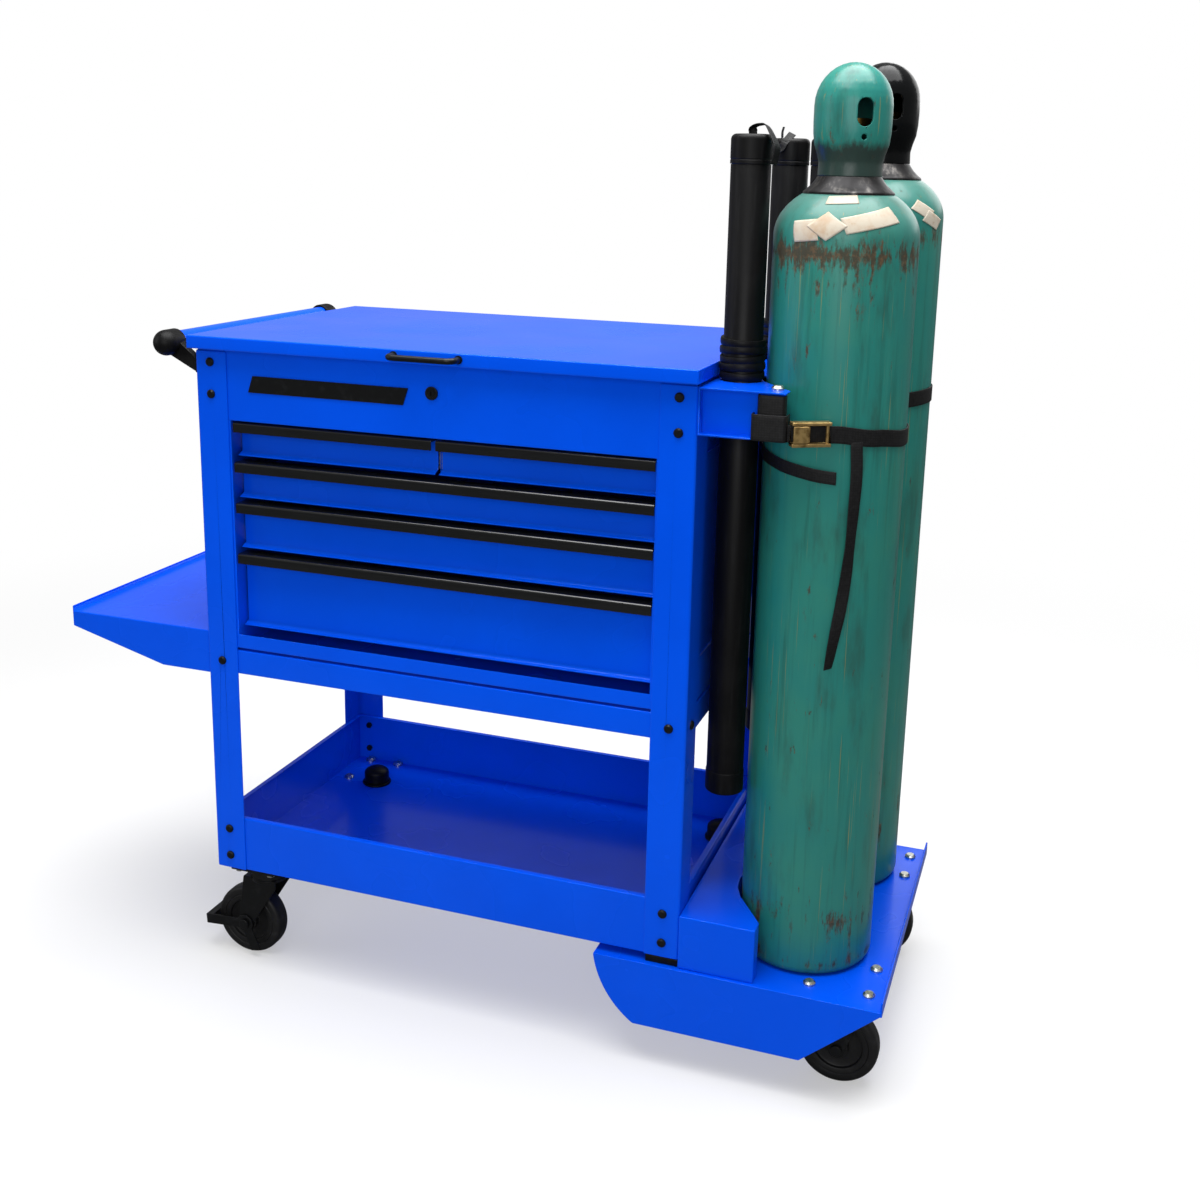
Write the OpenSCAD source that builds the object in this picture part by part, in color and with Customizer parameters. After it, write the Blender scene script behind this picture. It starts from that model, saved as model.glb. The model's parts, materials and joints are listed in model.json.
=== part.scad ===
// Welding cart with five drawers, a lift-up lid and a carrier for two gas cylinders

/* [Frame] */
// Width over the corner posts
frame_w = 842; // [800:1:880]
// Depth over the corner posts
frame_d = 508; // [490:1:530]
// Height of the posts' lower ends above the floor
post_z = 188; // [186:1:192]
// Length of the posts
post_h = 909; // [900:1:930]
// Leg of a post's angle section
post_leg = 57; // [55:1:57]
// Wall of a post
post_t = 2.5; // [2:0.1:3]
// Height of the cross members above the floor
rail_z = 551; // [545:1:553]
// Height of a cross member
rail_h = 42; // [36:1:42]
// Depth of the lower tray
low_tray_h = 97; // [85:1:110]
// Thickness of the tray and cabinet sheet
sheet = 2; // [1.5:0.1:2]

/* [Cabinet] */
// Gap between the cross members and the cabinet
cabinet_gap = 4; // [2:1:7]
// Height of the strip under the lowest drawer
strip_h = 24.5; // [20:0.5:28]
// Height of the panel over the drawers
fascia_h = 135; // [130:1:140]
// Diameter of the lock's ring
lock_d = 21; // [20:0.5:24]

/* [Lid] */
// Depth of the lid's lip
lid_lip = 21; // [18:1:22]
// Overhang of the lid at the sides
lid_side = 4.4; // [3:0.2:4.6]
// Overhang of the lid at the front
lid_front = 17.7; // [12:0.5:22]
// Overhang of the lid at the back
lid_back = 22; // [16:1:26]
// Diameter of the lid handle's rod
lid_rod_d = 9.5; // [8:0.5:11]
// Width of the lid handle
lid_handle_w = 118; // [100:1:140]

/* [Shelf and handle] */
// Reach of the side shelf
shelf_w = 280; // [240:1:320]
// Height of the side shelf above the floor
shelf_z = 620; // [612:1:632]
// Diameter of the push handle
push_d = 33; // [28:1:34]
// Distance of the push handle from the posts
push_reach = 54; // [50:1:60]

/* [Carrier] */
// Reach of the cylinder tray beyond the posts
carrier_w = 321; // [319:1:340]
// Height of the cylinder tray above the floor
carrier_z = 176; // [176:1:180]
// Thickness of the carrier's plate
plate_t = 3; // [2.5:0.1:3.5]
// Height of the cradle box
cradle_h = 90; // [70:1:110]
// Distance of the rod tube bracket's underside below the posts' tops
bracket_drop = 71; // [71:1:85]
// Height of the rod tube bracket
bracket_h = 70; // [60:1:70]

/* [Cylinders] */
// Diameter of the gas cylinders
cylinder_d = 210; // [204:1:210]
// Height of the front cylinder with its cap
front_cylinder_h = 1373; // [1340:1:1400]
// Height of the rear cylinder with its cap
rear_cylinder_h = 1393; // [1340:1:1400]
// Wall of the cylinders
cylinder_t = 7; // [5:0.5:9]
// Diameter of the rod tubes
rod_tube_d = 58; // [50:1:58]
// Length of the rod tubes
rod_tube_h = 1003; // [900:1:1030]
// Width of the webbing
webbing_w = 25; // [20:1:26]

/* [Casters] */
// Diameter of the wheels
wheel_d = 127; // [120:1:127]
// Width of the wheels' tread
wheel_w = 32; // [28:1:34]
// Trail of the swivel casters
caster_trail = 37; // [34:1:40]

/* [Hidden] */
$fn = 48;
// Overrun of a cut past the face that it opens
cut = 1;
// Gap between pieces that move past each other or rest on each other
seat_gap = 0.3;
// Radial clearance of a shaft in its bore
run_gap = 0.05;
// Clearance of a bolt in its hole
bolt_gap = 0.2;

// Frame values worked out
post_top = post_z + post_h;
cabinet_z = rail_z + rail_h + cabinet_gap;
inner_x0 = post_t;
inner_x1 = frame_w - post_t;
inner_y0 = post_t;
inner_y1 = frame_d - post_t;
post_round = 4;
mid_x = frame_w / 2;

// Bolts of the frame
bolt_inset = 27.5;
bolt_r = 3;
bolt_head_r = 7.2;
bolt_head_h = 4;
nut_r = 6;
nut_h = 5;
low_bolt_up = 25;
high_bolt_up = 75;
top_bolt_drop = 18;
second_bolt_drop = 70;
rail_bolt_z = rail_z + rail_h / 2;
bolt_heights = [post_z + low_bolt_up, post_z + high_bolt_up, rail_bolt_z,
    post_top - second_bolt_drop, post_top - top_bolt_drop];

// Cross members and lower tray
rail_flange = 25;
low_tray_top = post_z + low_tray_h;
pan_top = post_z + sheet;
hem = 10;

// Covers over the bolts in the lower tray
cover_r = 24;
cover_h = 34;
cover_rim = 28;
cover_rim_h = 5;
cover_t = 2;
cover_in = 44;
cover_y = 82;

// Lid and cabinet heights
lid_drop = 4.5;
lid_z = post_top + lid_drop;
lid_top = lid_z + lid_lip;
lid_under = lid_top - sheet;
cabinet_top = lid_under - seat_gap;
fascia_z = lid_top - fascia_h - sheet;
strip_top = cabinet_z + strip_h;
wall_in = 3;
wall_x0 = post_leg + wall_in;
wall_x1 = frame_w - wall_x0;
rim_w = 14;
emboss_in = 70;
emboss_depth = 4;

// Drawers: lower lips and tops as shares of the way down from the panel over the drawers to the strip
bay_h = fascia_z - strip_top;
lip_shares = [0.167, 0.167, 0.359, 0.594, 0.967];
top_shares = [0.008, 0.008, 0.191, 0.379, 0.616];
face_gap = 2;
centre_gap = 3.5;
face_y = 30;
lip_y = 18;
trim_y = 4.5;
trim_h = 17;
trim_step = 2.5;
trim_t = 1.8;
trim_back = 4;
face_lip_h = 5;
box_t = 1.5;
box_up = 6;
box_down = 18;
box_back = 40;
divider_down = 2;

// Drawer slides
slide_plate = 1.2;
slide_gap = 0.4;
slide_h = 26;
slide_lip = 4;
slide_w = 12.5;
slide_up = 20;
slide_y = 34;
slide_len = frame_d - box_back - slide_y;
web_h = 8;
middle_x = slide_plate + slide_gap;
middle_h = slide_h - 2 * middle_x;
inner_x = 2 * middle_x;
inner_h = middle_h - 2 * middle_x;

// Lock
lock_drop = 41;
lock_z = post_top - lock_drop;
lock_ring_h = 3.5;
lock_body_r = 9.5;
lock_len = 28;
plug_r = 6;
key_w = 1.6;
key_h = 7;
key_depth = 8;
cam_w = 10;
cam_len = 34;
cam_t = 2;

// Lid hinge
hinge_out = 5;
hinge_drop = 7.5;
hinge_y = frame_d + hinge_out;
hinge_z = lid_under - hinge_drop;
knuckle_r = 4;
pin_r = 1.8;
hinge_in = 70;
knuckles = 9;
leaf_t = 1.5;
leaf_h = 30;
knuckle_gap = 0.4;
hinge_len = frame_w - 2 * hinge_in;
knuckle_len = hinge_len / knuckles;
back_hem = 6;
lid_leaf_w = 10;

// Lid handle
handle_reach = 25.25;
handle_bend = 12;
handle_drop = 9.5;
handle_foot_r = 6.5;
handle_foot_t = 2;

// Push handle
push_up = 8;
push_z = post_top + push_up;
push_end_r = 21;
push_socket = 26;
push_in = 8;
arm_t = 14;
arm_y = 8;
foot_t = 4;
foot_low = 38;
foot_high = 6;
foot_w = 22;

// Side shelf
shelf_flange = 75;
shelf_end = 27.5;
shelf_flat = 96;
shelf_lip = 9;
shelf_in = 4;

// Cylinders
cylinder_r = cylinder_d / 2;
cylinder_in = 149.7;
cylinder_x = frame_w + carrier_w - cylinder_in;
front_y = 150;
rear_share = 0.43;
rear_base_y = 220.56;
rear_y = rear_base_y + rear_share * frame_d;
mid_y = (front_y + rear_y) / 2;
cylinder_ys = [front_y, rear_y];
cylinder_tops = [carrier_z + front_cylinder_h, carrier_z + rear_cylinder_h];
cap_len = 157;
shoulder_drop = 86;
shoulder_h = 78;
foot_round = 14;
ring_r = 65.5;
ring_drop = 25;
ring_h = 3;
ring_flare_h = ring_drop - ring_h - seat_gap;
ring_flare_shares = [[0, 0], [0.4, 0.3], [0.75, 0.65], [1, 1]];
neck_r = 30;
neck_len = 10;
valve_stem_r = 14;
valve_h = 70;
valve_port_r = 11;
valve_port_len = 30;
valve_port_up = 26;
valve_wheel_r = 27;
valve_wheel_h = 12;

// Cylinder caps: shares of the greatest radius and of the length, up to where the dome starts
cap_r = 55.5;
cap_foot_share = 0.83;
cap_shares = [[0.83, 0], [0.82, 0.115], [0.87, 0.19], [0.955, 0.28], [0.99, 0.38], [1, 0.48],
    [1, 0.62]];
cap_dome_share = 0.62;
cap_wall = 5;
cap_slot_w = 23;
cap_slot_h = 39;
cap_slot_up = 68;
cap_slot_turn = -62;
cap_hole_r = 4;
cap_hole_up = 54;

// Cylinder tray
tray_left = 138;
tray_front = 9;
tray_back = 4;
tray_x0 = frame_w - tray_left;
tray_x1 = frame_w + carrier_w;
tray_y0 = -tray_front;
tray_y1 = rear_y + cylinder_r + tray_back;
flange_drop = 110;
flange_z = carrier_z - flange_drop;
flange_round = 158;
flange_rise = 21.5;
flange_in = 121;
flange_tip = 8;
tray_lip = 16;
pad_w = 54;
pad_d = 110;
pad_h = post_z - carrier_z;

// Plans of the cradle and the bracket
horn_in = 50;
front_horn_in = 44;
mid_horn_in = 20;
horn_x = cylinder_x - horn_in;
front_horn_x = cylinder_x - front_horn_in;
mid_horn_x = cylinder_x - mid_horn_in;
bay_gap = 6;
bay_r = cylinder_r + bay_gap;
horn_half = 125;
mid_half = 109;
bay_step = 15;
bay_start = 210;
bay_end = 150;
full_turn = 360;
cradle_mid = 150;
bracket_mid = 105;
carrier_front = 3;
web_in = 18;

// Rod tubes
tube_r = rod_tube_d / 2;
tube_t = 3.5;
tube_step = 1.4;
tube_z = 445;
tube_out = 39;
tube_front_in = 54;
tube_rear_in = 76;
tube_mid_in = 56;
tube_spots = [[frame_w + tube_out, front_y - tube_front_in], [frame_w + tube_out, rear_y - tube_rear_in],
    [cylinder_x - tube_mid_in, mid_y]];
tube_cap_h = 42;
tube_cap_over = 1;
tube_cap_roof = 4;
tube_cap_round = 8;
tube_foot_h = 36;
tube_hole_gap = 1.6;
collar_over = 4;
collar_h = 62;
collar_rings = 5;
ring_groove = 1.5;

// Straps
strap_t = 2.2;
strap_skin = 0.1;
strap_lap = 3;
strap_up = 12;
bracket_z = post_top - bracket_drop;
bracket_top = bracket_z + bracket_h;
strap_z = bracket_z + strap_up;
strap_in = cylinder_r + seat_gap;
strap_mid = strap_in + strap_t / 2;
anchor_y = 4;
mid_anchor = 33;
front_c = [cylinder_x, front_y];
rear_c = [cylinder_x, rear_y];
front_anchor = [front_horn_x + strap_t / 2, anchor_y];
mid_anchor_front = [mid_horn_x + strap_t / 2, mid_y - mid_anchor];
mid_anchor_rear = [mid_horn_x + strap_t / 2, mid_y + mid_anchor];
rear_anchor = [cylinder_x - sqrt(bay_r * bay_r - pow(frame_d - rear_y, 2)), frame_d + strap_t / 2];
loop_up = 26;
loop_len = 46;
loop_back = 20;

// Buckle
buckle_at = 5;
buckle_len = 58;
buckle_bar_h = 5;
buckle_out = 13;
buckle_back = 2;
lever_at = 22;
lever_out = 8;
lever_r = 5.5;
lever_pin_r = 2.5;
lever_tab = 20;
lever_tab_t = 3;

// Route of the strap's free tail: offsets from the front cylinder's axis and depths below the strap
tail_route = [[48.7, -95, 13], [51.7, -97, 63], [50.7, -98, 113], [48.7, -98, 163], [45.7, -99, 213],
    [40.7, -101, 263], [33.7, -104, 313], [28.7, -105, 354]];
tail_w = 22;
tail_t = 1.8;
tail_turn = 28;

// Casters
wheel_r = wheel_d / 2;
left_x = 66;
left_in = 60;
left_dx = 31;
left_dy = 45;
left_ys = [left_in, frame_d - left_in];
right_out = 72;
right_in = 69;
right_dx = 46;
right_dy = 38;
right_x = frame_w + carrier_w - right_out;
right_ys = [right_in, tray_y0 + tray_y1 - right_in];
plate_edge = 11;
caster_plate_t = 5;
hub_w = 44;
hub_r = 46;
hub_rim = 6;
hub_disc = 14;
hub_boss_r = 17;
tread_drop = 2.5;
tread_side = 4;
axle_r = 6;
axle_head_r = 9;
axle_head_h = 4;
leg_t = 3.5;
leg_gap = 1;
leg_in = hub_w / 2 + leg_gap;
leg_out = leg_in + leg_t;
leg_end_r = 14;
leg_back = 38;
leg_front = 26;
leg_drop = 10;
leg_half = 40;
crown_gap = 23;
crown_t = 6;
crown_z = wheel_d + crown_gap;
crown_r = 33;
race_r = 27;
king_r = 8;
king_head_r = 12;
king_head_h = 4;

// Brakes
brake_gap = 0.3;
brake_t = 3;
brake_in = leg_out + brake_gap;
brake_out = brake_in + brake_t;
brake_r = 16;
brake_w = 18;
brake_reach = 2.5;
brake_pad = 14;
brake_toe = 52;
brake_turn = 184;
toe_turn = -66;

// Zinc bolts
zinc_r = 4;
zinc_head_r = 9.5;
zinc_head_h = 6;
zinc_nut_r = 7;
flush_head_r = 7;
flush_head_h = 1.6;
anchor_bolt_in = 18.5;
anchor_bolt_y = 27;
rear_bolt_in = 124;
rear_bolt_y = 34;

// Places of the bolts through the lower tray and the cylinder tray
left_spots = [for (y = left_ys) for (dx = [-left_dx, left_dx]) for (dy = [-left_dy, left_dy])
    [left_x + dx, y + dy]];
right_spots = [for (y = right_ys) for (dx = [-right_dx, right_dx]) for (dy = [-right_dy, right_dy])
    [right_x + dx, y + dy]];
pad_spots = [[frame_w - cover_in, cover_y], [frame_w - cover_in, frame_d - cover_y]];
cover_spots = concat(pad_spots,
    [[left_x + left_dx, left_ys[0] + left_dy], [left_x + left_dx, left_ys[1] - left_dy]]);
function under_cylinder(p) = min(norm(p - front_c), norm(p - rear_c)) < cylinder_r + zinc_head_r;
flush_spots = [for (p = right_spots) if (under_cylinder(p)) p];
dome_spots = [for (p = right_spots) if (!under_cylinder(p)) p];
anchor_spots = [[front_horn_x - anchor_bolt_in, anchor_bolt_y],
    [cylinder_x - rear_bolt_in, frame_d - rear_bolt_y]];

// The model stands centred over its own outline
low_y = -(lid_front + handle_reach + lid_rod_d / 2);
centre_x = (tray_x1 - shelf_w) / 2;
centre_y = (low_y + tray_y1) / 2;

blue = [0.02, 0.3, 0.92];
black = [0.08, 0.08, 0.09];
teal = [0.18, 0.5, 0.45];
zinc = [0.8, 0.81, 0.8];
brass = [0.72, 0.62, 0.4];
cap_colours = [teal, black];

// A block between two corners
module block(a, b) {
    translate(a)
        cube(b - a);
}

// Moves the cart's frame, whose zero is the front left post's outer corner, over the outline's centre
module place() {
    translate([-centre_x, -centre_y, 0])
        children();
}

// The children and their mirror image about the plane x = at
module both_x(at) {
    children();
    translate([2 * at, 0, 0])
        mirror([1, 0, 0])
            children();
}

// The children and their mirror image about the plane y = at
module both_y(at) {
    children();
    translate([0, 2 * at, 0])
        mirror([0, 1, 0])
            children();
}

// A profile drawn in x and z, extruded along y from y0 to y1
module slab_y(y0, y1) {
    translate([0, y1, 0])
        rotate([90, 0, 0])
            linear_extrude(y1 - y0)
                children();
}

// A profile drawn in y and z, extruded along x from x0 to x1
module bar_x(x0, x1) {
    translate([x0, 0, 0])
        rotate([90, 0, 90])
            linear_extrude(x1 - x0)
                children();
}

// A round bar along y from y0 to y1
module rod_y(r, y0, y1, x, z) {
    translate([x, y0, z])
        rotate([-90, 0, 0])
            cylinder(r = r, h = y1 - y0);
}

// A round bar along x from x0 to x1
module rod_x(r, x0, x1, y, z) {
    translate([x0, y, z])
        rotate([0, 90, 0])
            cylinder(r = r, h = x1 - x0);
}

// Children at each place of a list, at height z
module at_each(spots, z) {
    for (p = spots)
        translate([p[0], p[1], z])
            children();
}

// A bolt's shank along z with a nut behind the grip
module shank(r, grip, nut) {
    cylinder(r = r, h = grip + nut_h);
    translate([0, 0, grip])
        cylinder(r = nut, h = nut_h, $fn = 6);
}

// A bolt along z with a domed head below zero
module bolt(r, head_r, head_h, grip, nut) {
    shank(r, grip, nut);
    translate([0, 0, -head_h])
        cylinder(r1 = head_r - head_h / 2, r2 = head_r, h = head_h / 2);
    translate([0, 0, -head_h / 2])
        cylinder(r = head_r, h = head_h / 2);
}

// Bolt holes through the front and back of the frame, and through its sides
module front_holes(r, deep) {
    for (x = [bolt_inset, frame_w - bolt_inset])
        for (z = bolt_heights) {
            rod_y(r, -cut, deep, x, z);
            rod_y(r, frame_d - deep, frame_d + cut, x, z);
        }
}

module side_holes(r, deep) {
    for (y = [bolt_inset, frame_d - bolt_inset]) {
        rod_x(r, -sheet - cut, deep, y, rail_bolt_z);
        rod_x(r, frame_w - deep, frame_w + cut, y, rail_bolt_z);
    }
}

module angle_section() {
    difference() {
        union() {
            translate([post_round, 0])
                square([post_leg - post_round, post_leg]);
            translate([0, post_round])
                square([post_leg, post_leg - post_round]);
            translate([post_round, post_round])
                circle(post_round);
        }
        translate([post_t, post_t])
            square(post_leg);
    }
}

module corner_posts() {
    color(blue)
        difference() {
            both_x(mid_x)
                both_y(frame_d / 2)
                    translate([0, 0, post_z])
                        linear_extrude(post_h)
                            angle_section();
            front_holes(bolt_r + bolt_gap, post_t + cut);
            side_holes(bolt_r + bolt_gap, post_t + cut);
        }
}

// A rail's channel section, open away from its web
module channel_section() {
    square([sheet, rail_h]);
    square([rail_flange, sheet]);
    translate([0, rail_h - sheet])
        square([rail_flange, sheet]);
}

module cross_members() {
    color(blue)
        difference() {
            union() {
                both_y(frame_d / 2)
                    bar_x(inner_x0, inner_x1)
                        translate([inner_y0, rail_z])
                            channel_section();
                both_x(mid_x)
                    slab_y(inner_y0, inner_y1)
                        translate([inner_x0, rail_z])
                            channel_section();
            }
            front_holes(bolt_r + bolt_gap, inner_y0 + sheet + cut);
            side_holes(bolt_r + bolt_gap, inner_x0 + sheet + cut);
        }
}

// Lower tray with its rim turned inwards
module lower_tray() {
    color(blue)
        difference() {
            block([inner_x0, inner_y0, post_z], [inner_x1, inner_y1, low_tray_top]);
            block([inner_x0 + sheet, inner_y0 + sheet, pan_top],
                [inner_x1 - sheet, inner_y1 - sheet, low_tray_top - sheet]);
            block([inner_x0 + hem, inner_y0 + hem, pan_top],
                [inner_x1 - hem, inner_y1 - hem, low_tray_top + cut]);
            front_holes(bolt_r + bolt_gap, inner_y0 + sheet + cut);
            at_each(concat(left_spots, pad_spots), post_z - cut)
                cylinder(r = zinc_r + bolt_gap, h = sheet + 2 * cut);
        }
}

// One hollow cover with a rim and a domed top
module bolt_cover() {
    dome_z = cover_h - cover_r / 2;
    inner = cover_r - cover_t;
    rotate_extrude()
        polygon(concat([[inner, 0], [cover_rim, 0], [cover_rim, cover_rim_h], [cover_r, cover_rim_h]],
            [for (a = [0:15:90]) [cover_r * cos(a), dome_z + cover_r / 2 * sin(a)]],
            [for (a = [90:-15:0]) [inner * cos(a), dome_z + inner / 2 * sin(a)]]));
}

module bolt_covers() {
    color(black) {
        at_each(cover_spots, pan_top)
            bolt_cover();
        both_y(frame_d / 2)
            difference() {
                block([frame_w - pad_w, 0, carrier_z], [frame_w, pad_d, carrier_z + pad_h]);
                translate([frame_w - cover_in, cover_y, carrier_z - cut])
                    cylinder(r = zinc_r + bolt_gap, h = pad_h + 2 * cut);
            }
    }
}

// One outer side of the cabinet with its pressed-in panel
module cabinet_side() {
    y0 = inner_y0 + emboss_in;
    y1 = inner_y1 - emboss_in;
    z0 = cabinet_z + emboss_in;
    z1 = post_top - emboss_in;
    difference() {
        block([inner_x0, inner_y0, cabinet_z], [inner_x0 + sheet, inner_y1, cabinet_top]);
        block([inner_x0 - cut, y0, z0], [inner_x0 + sheet + cut, y1, z1]);
    }
    difference() {
        block([inner_x0 + sheet / 2, y0 - sheet, z0 - sheet],
            [inner_x0 + emboss_depth + sheet, y1 + sheet, z1 + sheet]);
        block([inner_x0 - cut, y0, z0], [inner_x0 + emboss_depth, y1, z1]);
    }
}

module cabinet() {
    color(blue)
        difference() {
            union() {
                both_x(mid_x) {
                    cabinet_side();
                    block([wall_x0 - sheet, inner_y0, cabinet_z], [wall_x0, inner_y1, fascia_z + sheet]);
                    block([inner_x0, inner_y0, cabinet_z], [wall_x0, inner_y0 + sheet, fascia_z + sheet]);
                    block([inner_x0, inner_y0, cabinet_top - sheet], [inner_x0 + rim_w, inner_y1,
                        cabinet_top]);
                }
                both_y(frame_d / 2)
                    block([inner_x0, inner_y0, cabinet_top - sheet], [inner_x1, inner_y0 + rim_w,
                        cabinet_top]);
                block([inner_x0, inner_y0, fascia_z], [inner_x1, inner_y0 + sheet, cabinet_top]);
                block([inner_x0, inner_y0, cabinet_z], [inner_x1, inner_y0 + sheet, strip_top]);
                block([inner_x0, inner_y1 - sheet, cabinet_z], [inner_x1, inner_y1, cabinet_top]);
                block([inner_x0, inner_y0, cabinet_z], [inner_x1, inner_y1, cabinet_z + sheet]);
                block([inner_x0, inner_y0, fascia_z], [inner_x1, inner_y1, fascia_z + sheet]);
                block([mid_x - sheet / 2, inner_y0 + face_y, lip_z(0) - divider_down],
                    [mid_x + sheet / 2, inner_y1, fascia_z + sheet]);
            }
            front_holes(bolt_r + bolt_gap, inner_y0 + sheet + cut);
            rod_y(lock_body_r, -cut, inner_y0 + sheet + cut, mid_x, lock_z);
        }
}

// Openings of the drawers: the walls that carry the slides, and the drawers' own places
function opening_x0(i) = i == 1 ? mid_x + sheet / 2 : wall_x0;
function opening_x1(i) = i == 0 ? mid_x - sheet / 2 : wall_x1;
function opening_mid(i) = (opening_x0(i) + opening_x1(i)) / 2;
function lip_z(i) = fascia_z - lip_shares[i] * bay_h;
function trim_top(i) = fascia_z - top_shares[i] * bay_h;
function slide_z(i) = lip_z(i) + slide_up;
function face_x0(i) = i == 1 ? mid_x + centre_gap : wall_x0 + face_gap;
function face_x1(i) = i == 0 ? mid_x - centre_gap : wall_x1 - face_gap;

// A slide rail beside the wall: a plate with two lips, x away from the wall, on both sides of a drawer
module rail_pair(i, h, x) {
    both_x(opening_mid(i))
        slab_y(slide_y, slide_y + slide_len)
            translate([opening_x0(i) + x, slide_z(i)]) {
                translate([0, -h / 2])
                    square([slide_plate, h]);
                for (z = [-h / 2, h / 2 - slide_plate])
                    translate([0, z])
                        square([slide_plate + slide_lip, slide_plate]);
            }
}

module fixed_slides() {
    color(zinc)
        for (i = [0:4])
            rail_pair(i, slide_h, 0);
}

module drawer_slides(i) {
    color(zinc)
        rail_pair(i, middle_h, middle_x);
}

// Drawer face: a sheet whose lower edge turns forward
module face_section(i) {
    z0 = lip_z(i);
    z1 = trim_top(i) - trim_t;
    polygon([[face_y, z1], [face_y, z0 + face_lip_h + sheet], [lip_y, z0 + sheet], [lip_y, z0],
        [lip_y + sheet, z0], [face_y + sheet, z0 + face_lip_h], [face_y + sheet, z1]]);
}

module drawer_box(i) {
    x0 = opening_x0(i) + slide_w;
    x1 = opening_x1(i) - slide_w;
    z0 = lip_z(i) + box_up;
    z1 = trim_top(i) - box_down;
    y0 = face_y + sheet;
    y1 = frame_d - box_back;
    color(blue) {
        bar_x(face_x0(i), face_x1(i))
            face_section(i);
        difference() {
            block([x0, y0 - sheet / 2, z0], [x1, y1, z1]);
            block([x0 + box_t, y0, z0 + box_t], [x1 - box_t, y1 - box_t, z1 + cut]);
        }
        both_x(opening_mid(i))
            slab_y(slide_y, slide_y + slide_len)
                translate([opening_x0(i) + inner_x, slide_z(i)]) {
                    translate([0, -inner_h / 2])
                        square([slide_plate, inner_h]);
                    translate([0, -web_h / 2])
                        square([slide_w - inner_x + box_t / 2, web_h]);
                }
    }
}

// Pull trim along the top of a drawer's face: a lip in front with room for the fingers behind it
module drawer_trim(i) {
    z1 = trim_top(i);
    color(black)
        bar_x(face_x0(i), face_x1(i))
            polygon([[trim_y, z1 - trim_step], [trim_y, z1 - trim_h], [trim_y + trim_t, z1 - trim_h],
                [trim_y + trim_t, z1 - trim_step - trim_t], [face_y, z1 - trim_step - trim_t],
                [face_y, z1 - trim_t], [face_y + trim_back, z1 - trim_t], [face_y + trim_back, z1],
                [trim_y + trim_step, z1]]);
}

module lock_housing() {
    color(black)
        difference() {
            union() {
                rod_y(lock_d / 2, post_t - lock_ring_h, post_t, mid_x, lock_z);
                rod_y(lock_body_r, post_t, post_t + lock_len, mid_x, lock_z);
            }
            rod_y(plug_r + run_gap, -lock_ring_h, post_t + lock_len + cut, mid_x, lock_z);
        }
}

// Lock plug with its keyway in front and its cam behind the housing
module lock_plug() {
    front = post_t - lock_ring_h;
    back = post_t + lock_len + seat_gap;
    color(black)
        difference() {
            union() {
                rod_y(plug_r, front, back + cam_t, mid_x, lock_z);
                block([mid_x - cam_w / 2, back, lock_z - cam_w / 2],
                    [mid_x + cam_w / 2, back + cam_t, lock_z + cam_len]);
            }
            block([mid_x - key_w / 2, front - cut, lock_z - key_h / 2],
                [mid_x + key_w / 2, front + key_depth, lock_z + key_h / 2]);
        }
}

// Every second knuckle, and the webs that join these to a leaf
module knuckle_row(first) {
    for (k = [first:2:knuckles - 1])
        rod_x(knuckle_r, hinge_in + k * knuckle_len + knuckle_gap / 2,
            hinge_in + (k + 1) * knuckle_len - knuckle_gap / 2, hinge_y, hinge_z);
}

module knuckle_webs(first, y0, y1, z0, z1) {
    for (k = [first:2:knuckles - 1])
        block([hinge_in + k * knuckle_len + knuckle_gap / 2, y0, z0],
            [hinge_in + (k + 1) * knuckle_len - knuckle_gap / 2, y1, z1]);
}

module cabinet_hinge_leaf() {
    color(zinc) {
        knuckle_row(0);
        knuckle_webs(0, inner_y1, hinge_y - knuckle_r / 2, hinge_z - leaf_t / 2, hinge_z + leaf_t / 2);
        block([hinge_in, inner_y1, hinge_z - leaf_h], [frame_w - hinge_in, inner_y1 + leaf_t,
            hinge_z + leaf_t]);
        rod_x(pin_r, hinge_in, frame_w - hinge_in, hinge_y, hinge_z);
    }
}

module lid_hinge_leaf() {
    y1 = hinge_y + knuckle_r;
    color(zinc)
        difference() {
            union() {
                knuckle_row(1);
                knuckle_webs(1, y1 - leaf_t, y1, hinge_z, lid_under - leaf_t / 2);
                block([hinge_in, y1 - leaf_t, lid_under - leaf_t], [frame_w - hinge_in,
                    y1 + lid_leaf_w, lid_under]);
            }
            rod_x(pin_r + run_gap, hinge_in - cut, frame_w - hinge_in + cut, hinge_y, hinge_z);
        }
}

// Lid: a top sheet with a deep lip in front and at the sides, and a small hem behind the hinge
module lid() {
    x0 = -lid_side;
    x1 = frame_w + lid_side;
    y0 = -lid_front;
    y1 = frame_d + lid_back;
    color(blue)
        difference() {
            block([x0, y0, lid_z], [x1, y1, lid_top]);
            block([x0 + sheet, y0 + sheet, lid_z - cut], [x1 - sheet, y1 - sheet, lid_under]);
            block([x0 - cut, hinge_y, lid_z - cut], [x1 + cut, y1 + cut, lid_top - back_hem]);
        }
}

module lid_handle() {
    r = lid_rod_d / 2;
    x0 = mid_x - lid_handle_w / 2 + r;
    x1 = mid_x + lid_handle_w / 2 - r;
    y0 = -lid_front - handle_reach;
    z = lid_top - handle_drop;
    color(black) {
        rod_x(r, x0 + handle_bend, x1 - handle_bend, y0, z);
        both_x(mid_x) {
            rod_y(r, y0 + handle_bend, -lid_front, x0, z);
            rod_y(handle_foot_r, -lid_front - handle_foot_t, -lid_front, x0, z);
            translate([x0 + handle_bend, y0 + handle_bend, z])
                rotate([0, 0, 180])
                    rotate_extrude(angle = 90)
                        translate([handle_bend, 0])
                            circle(r);
        }
    }
}

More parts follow.
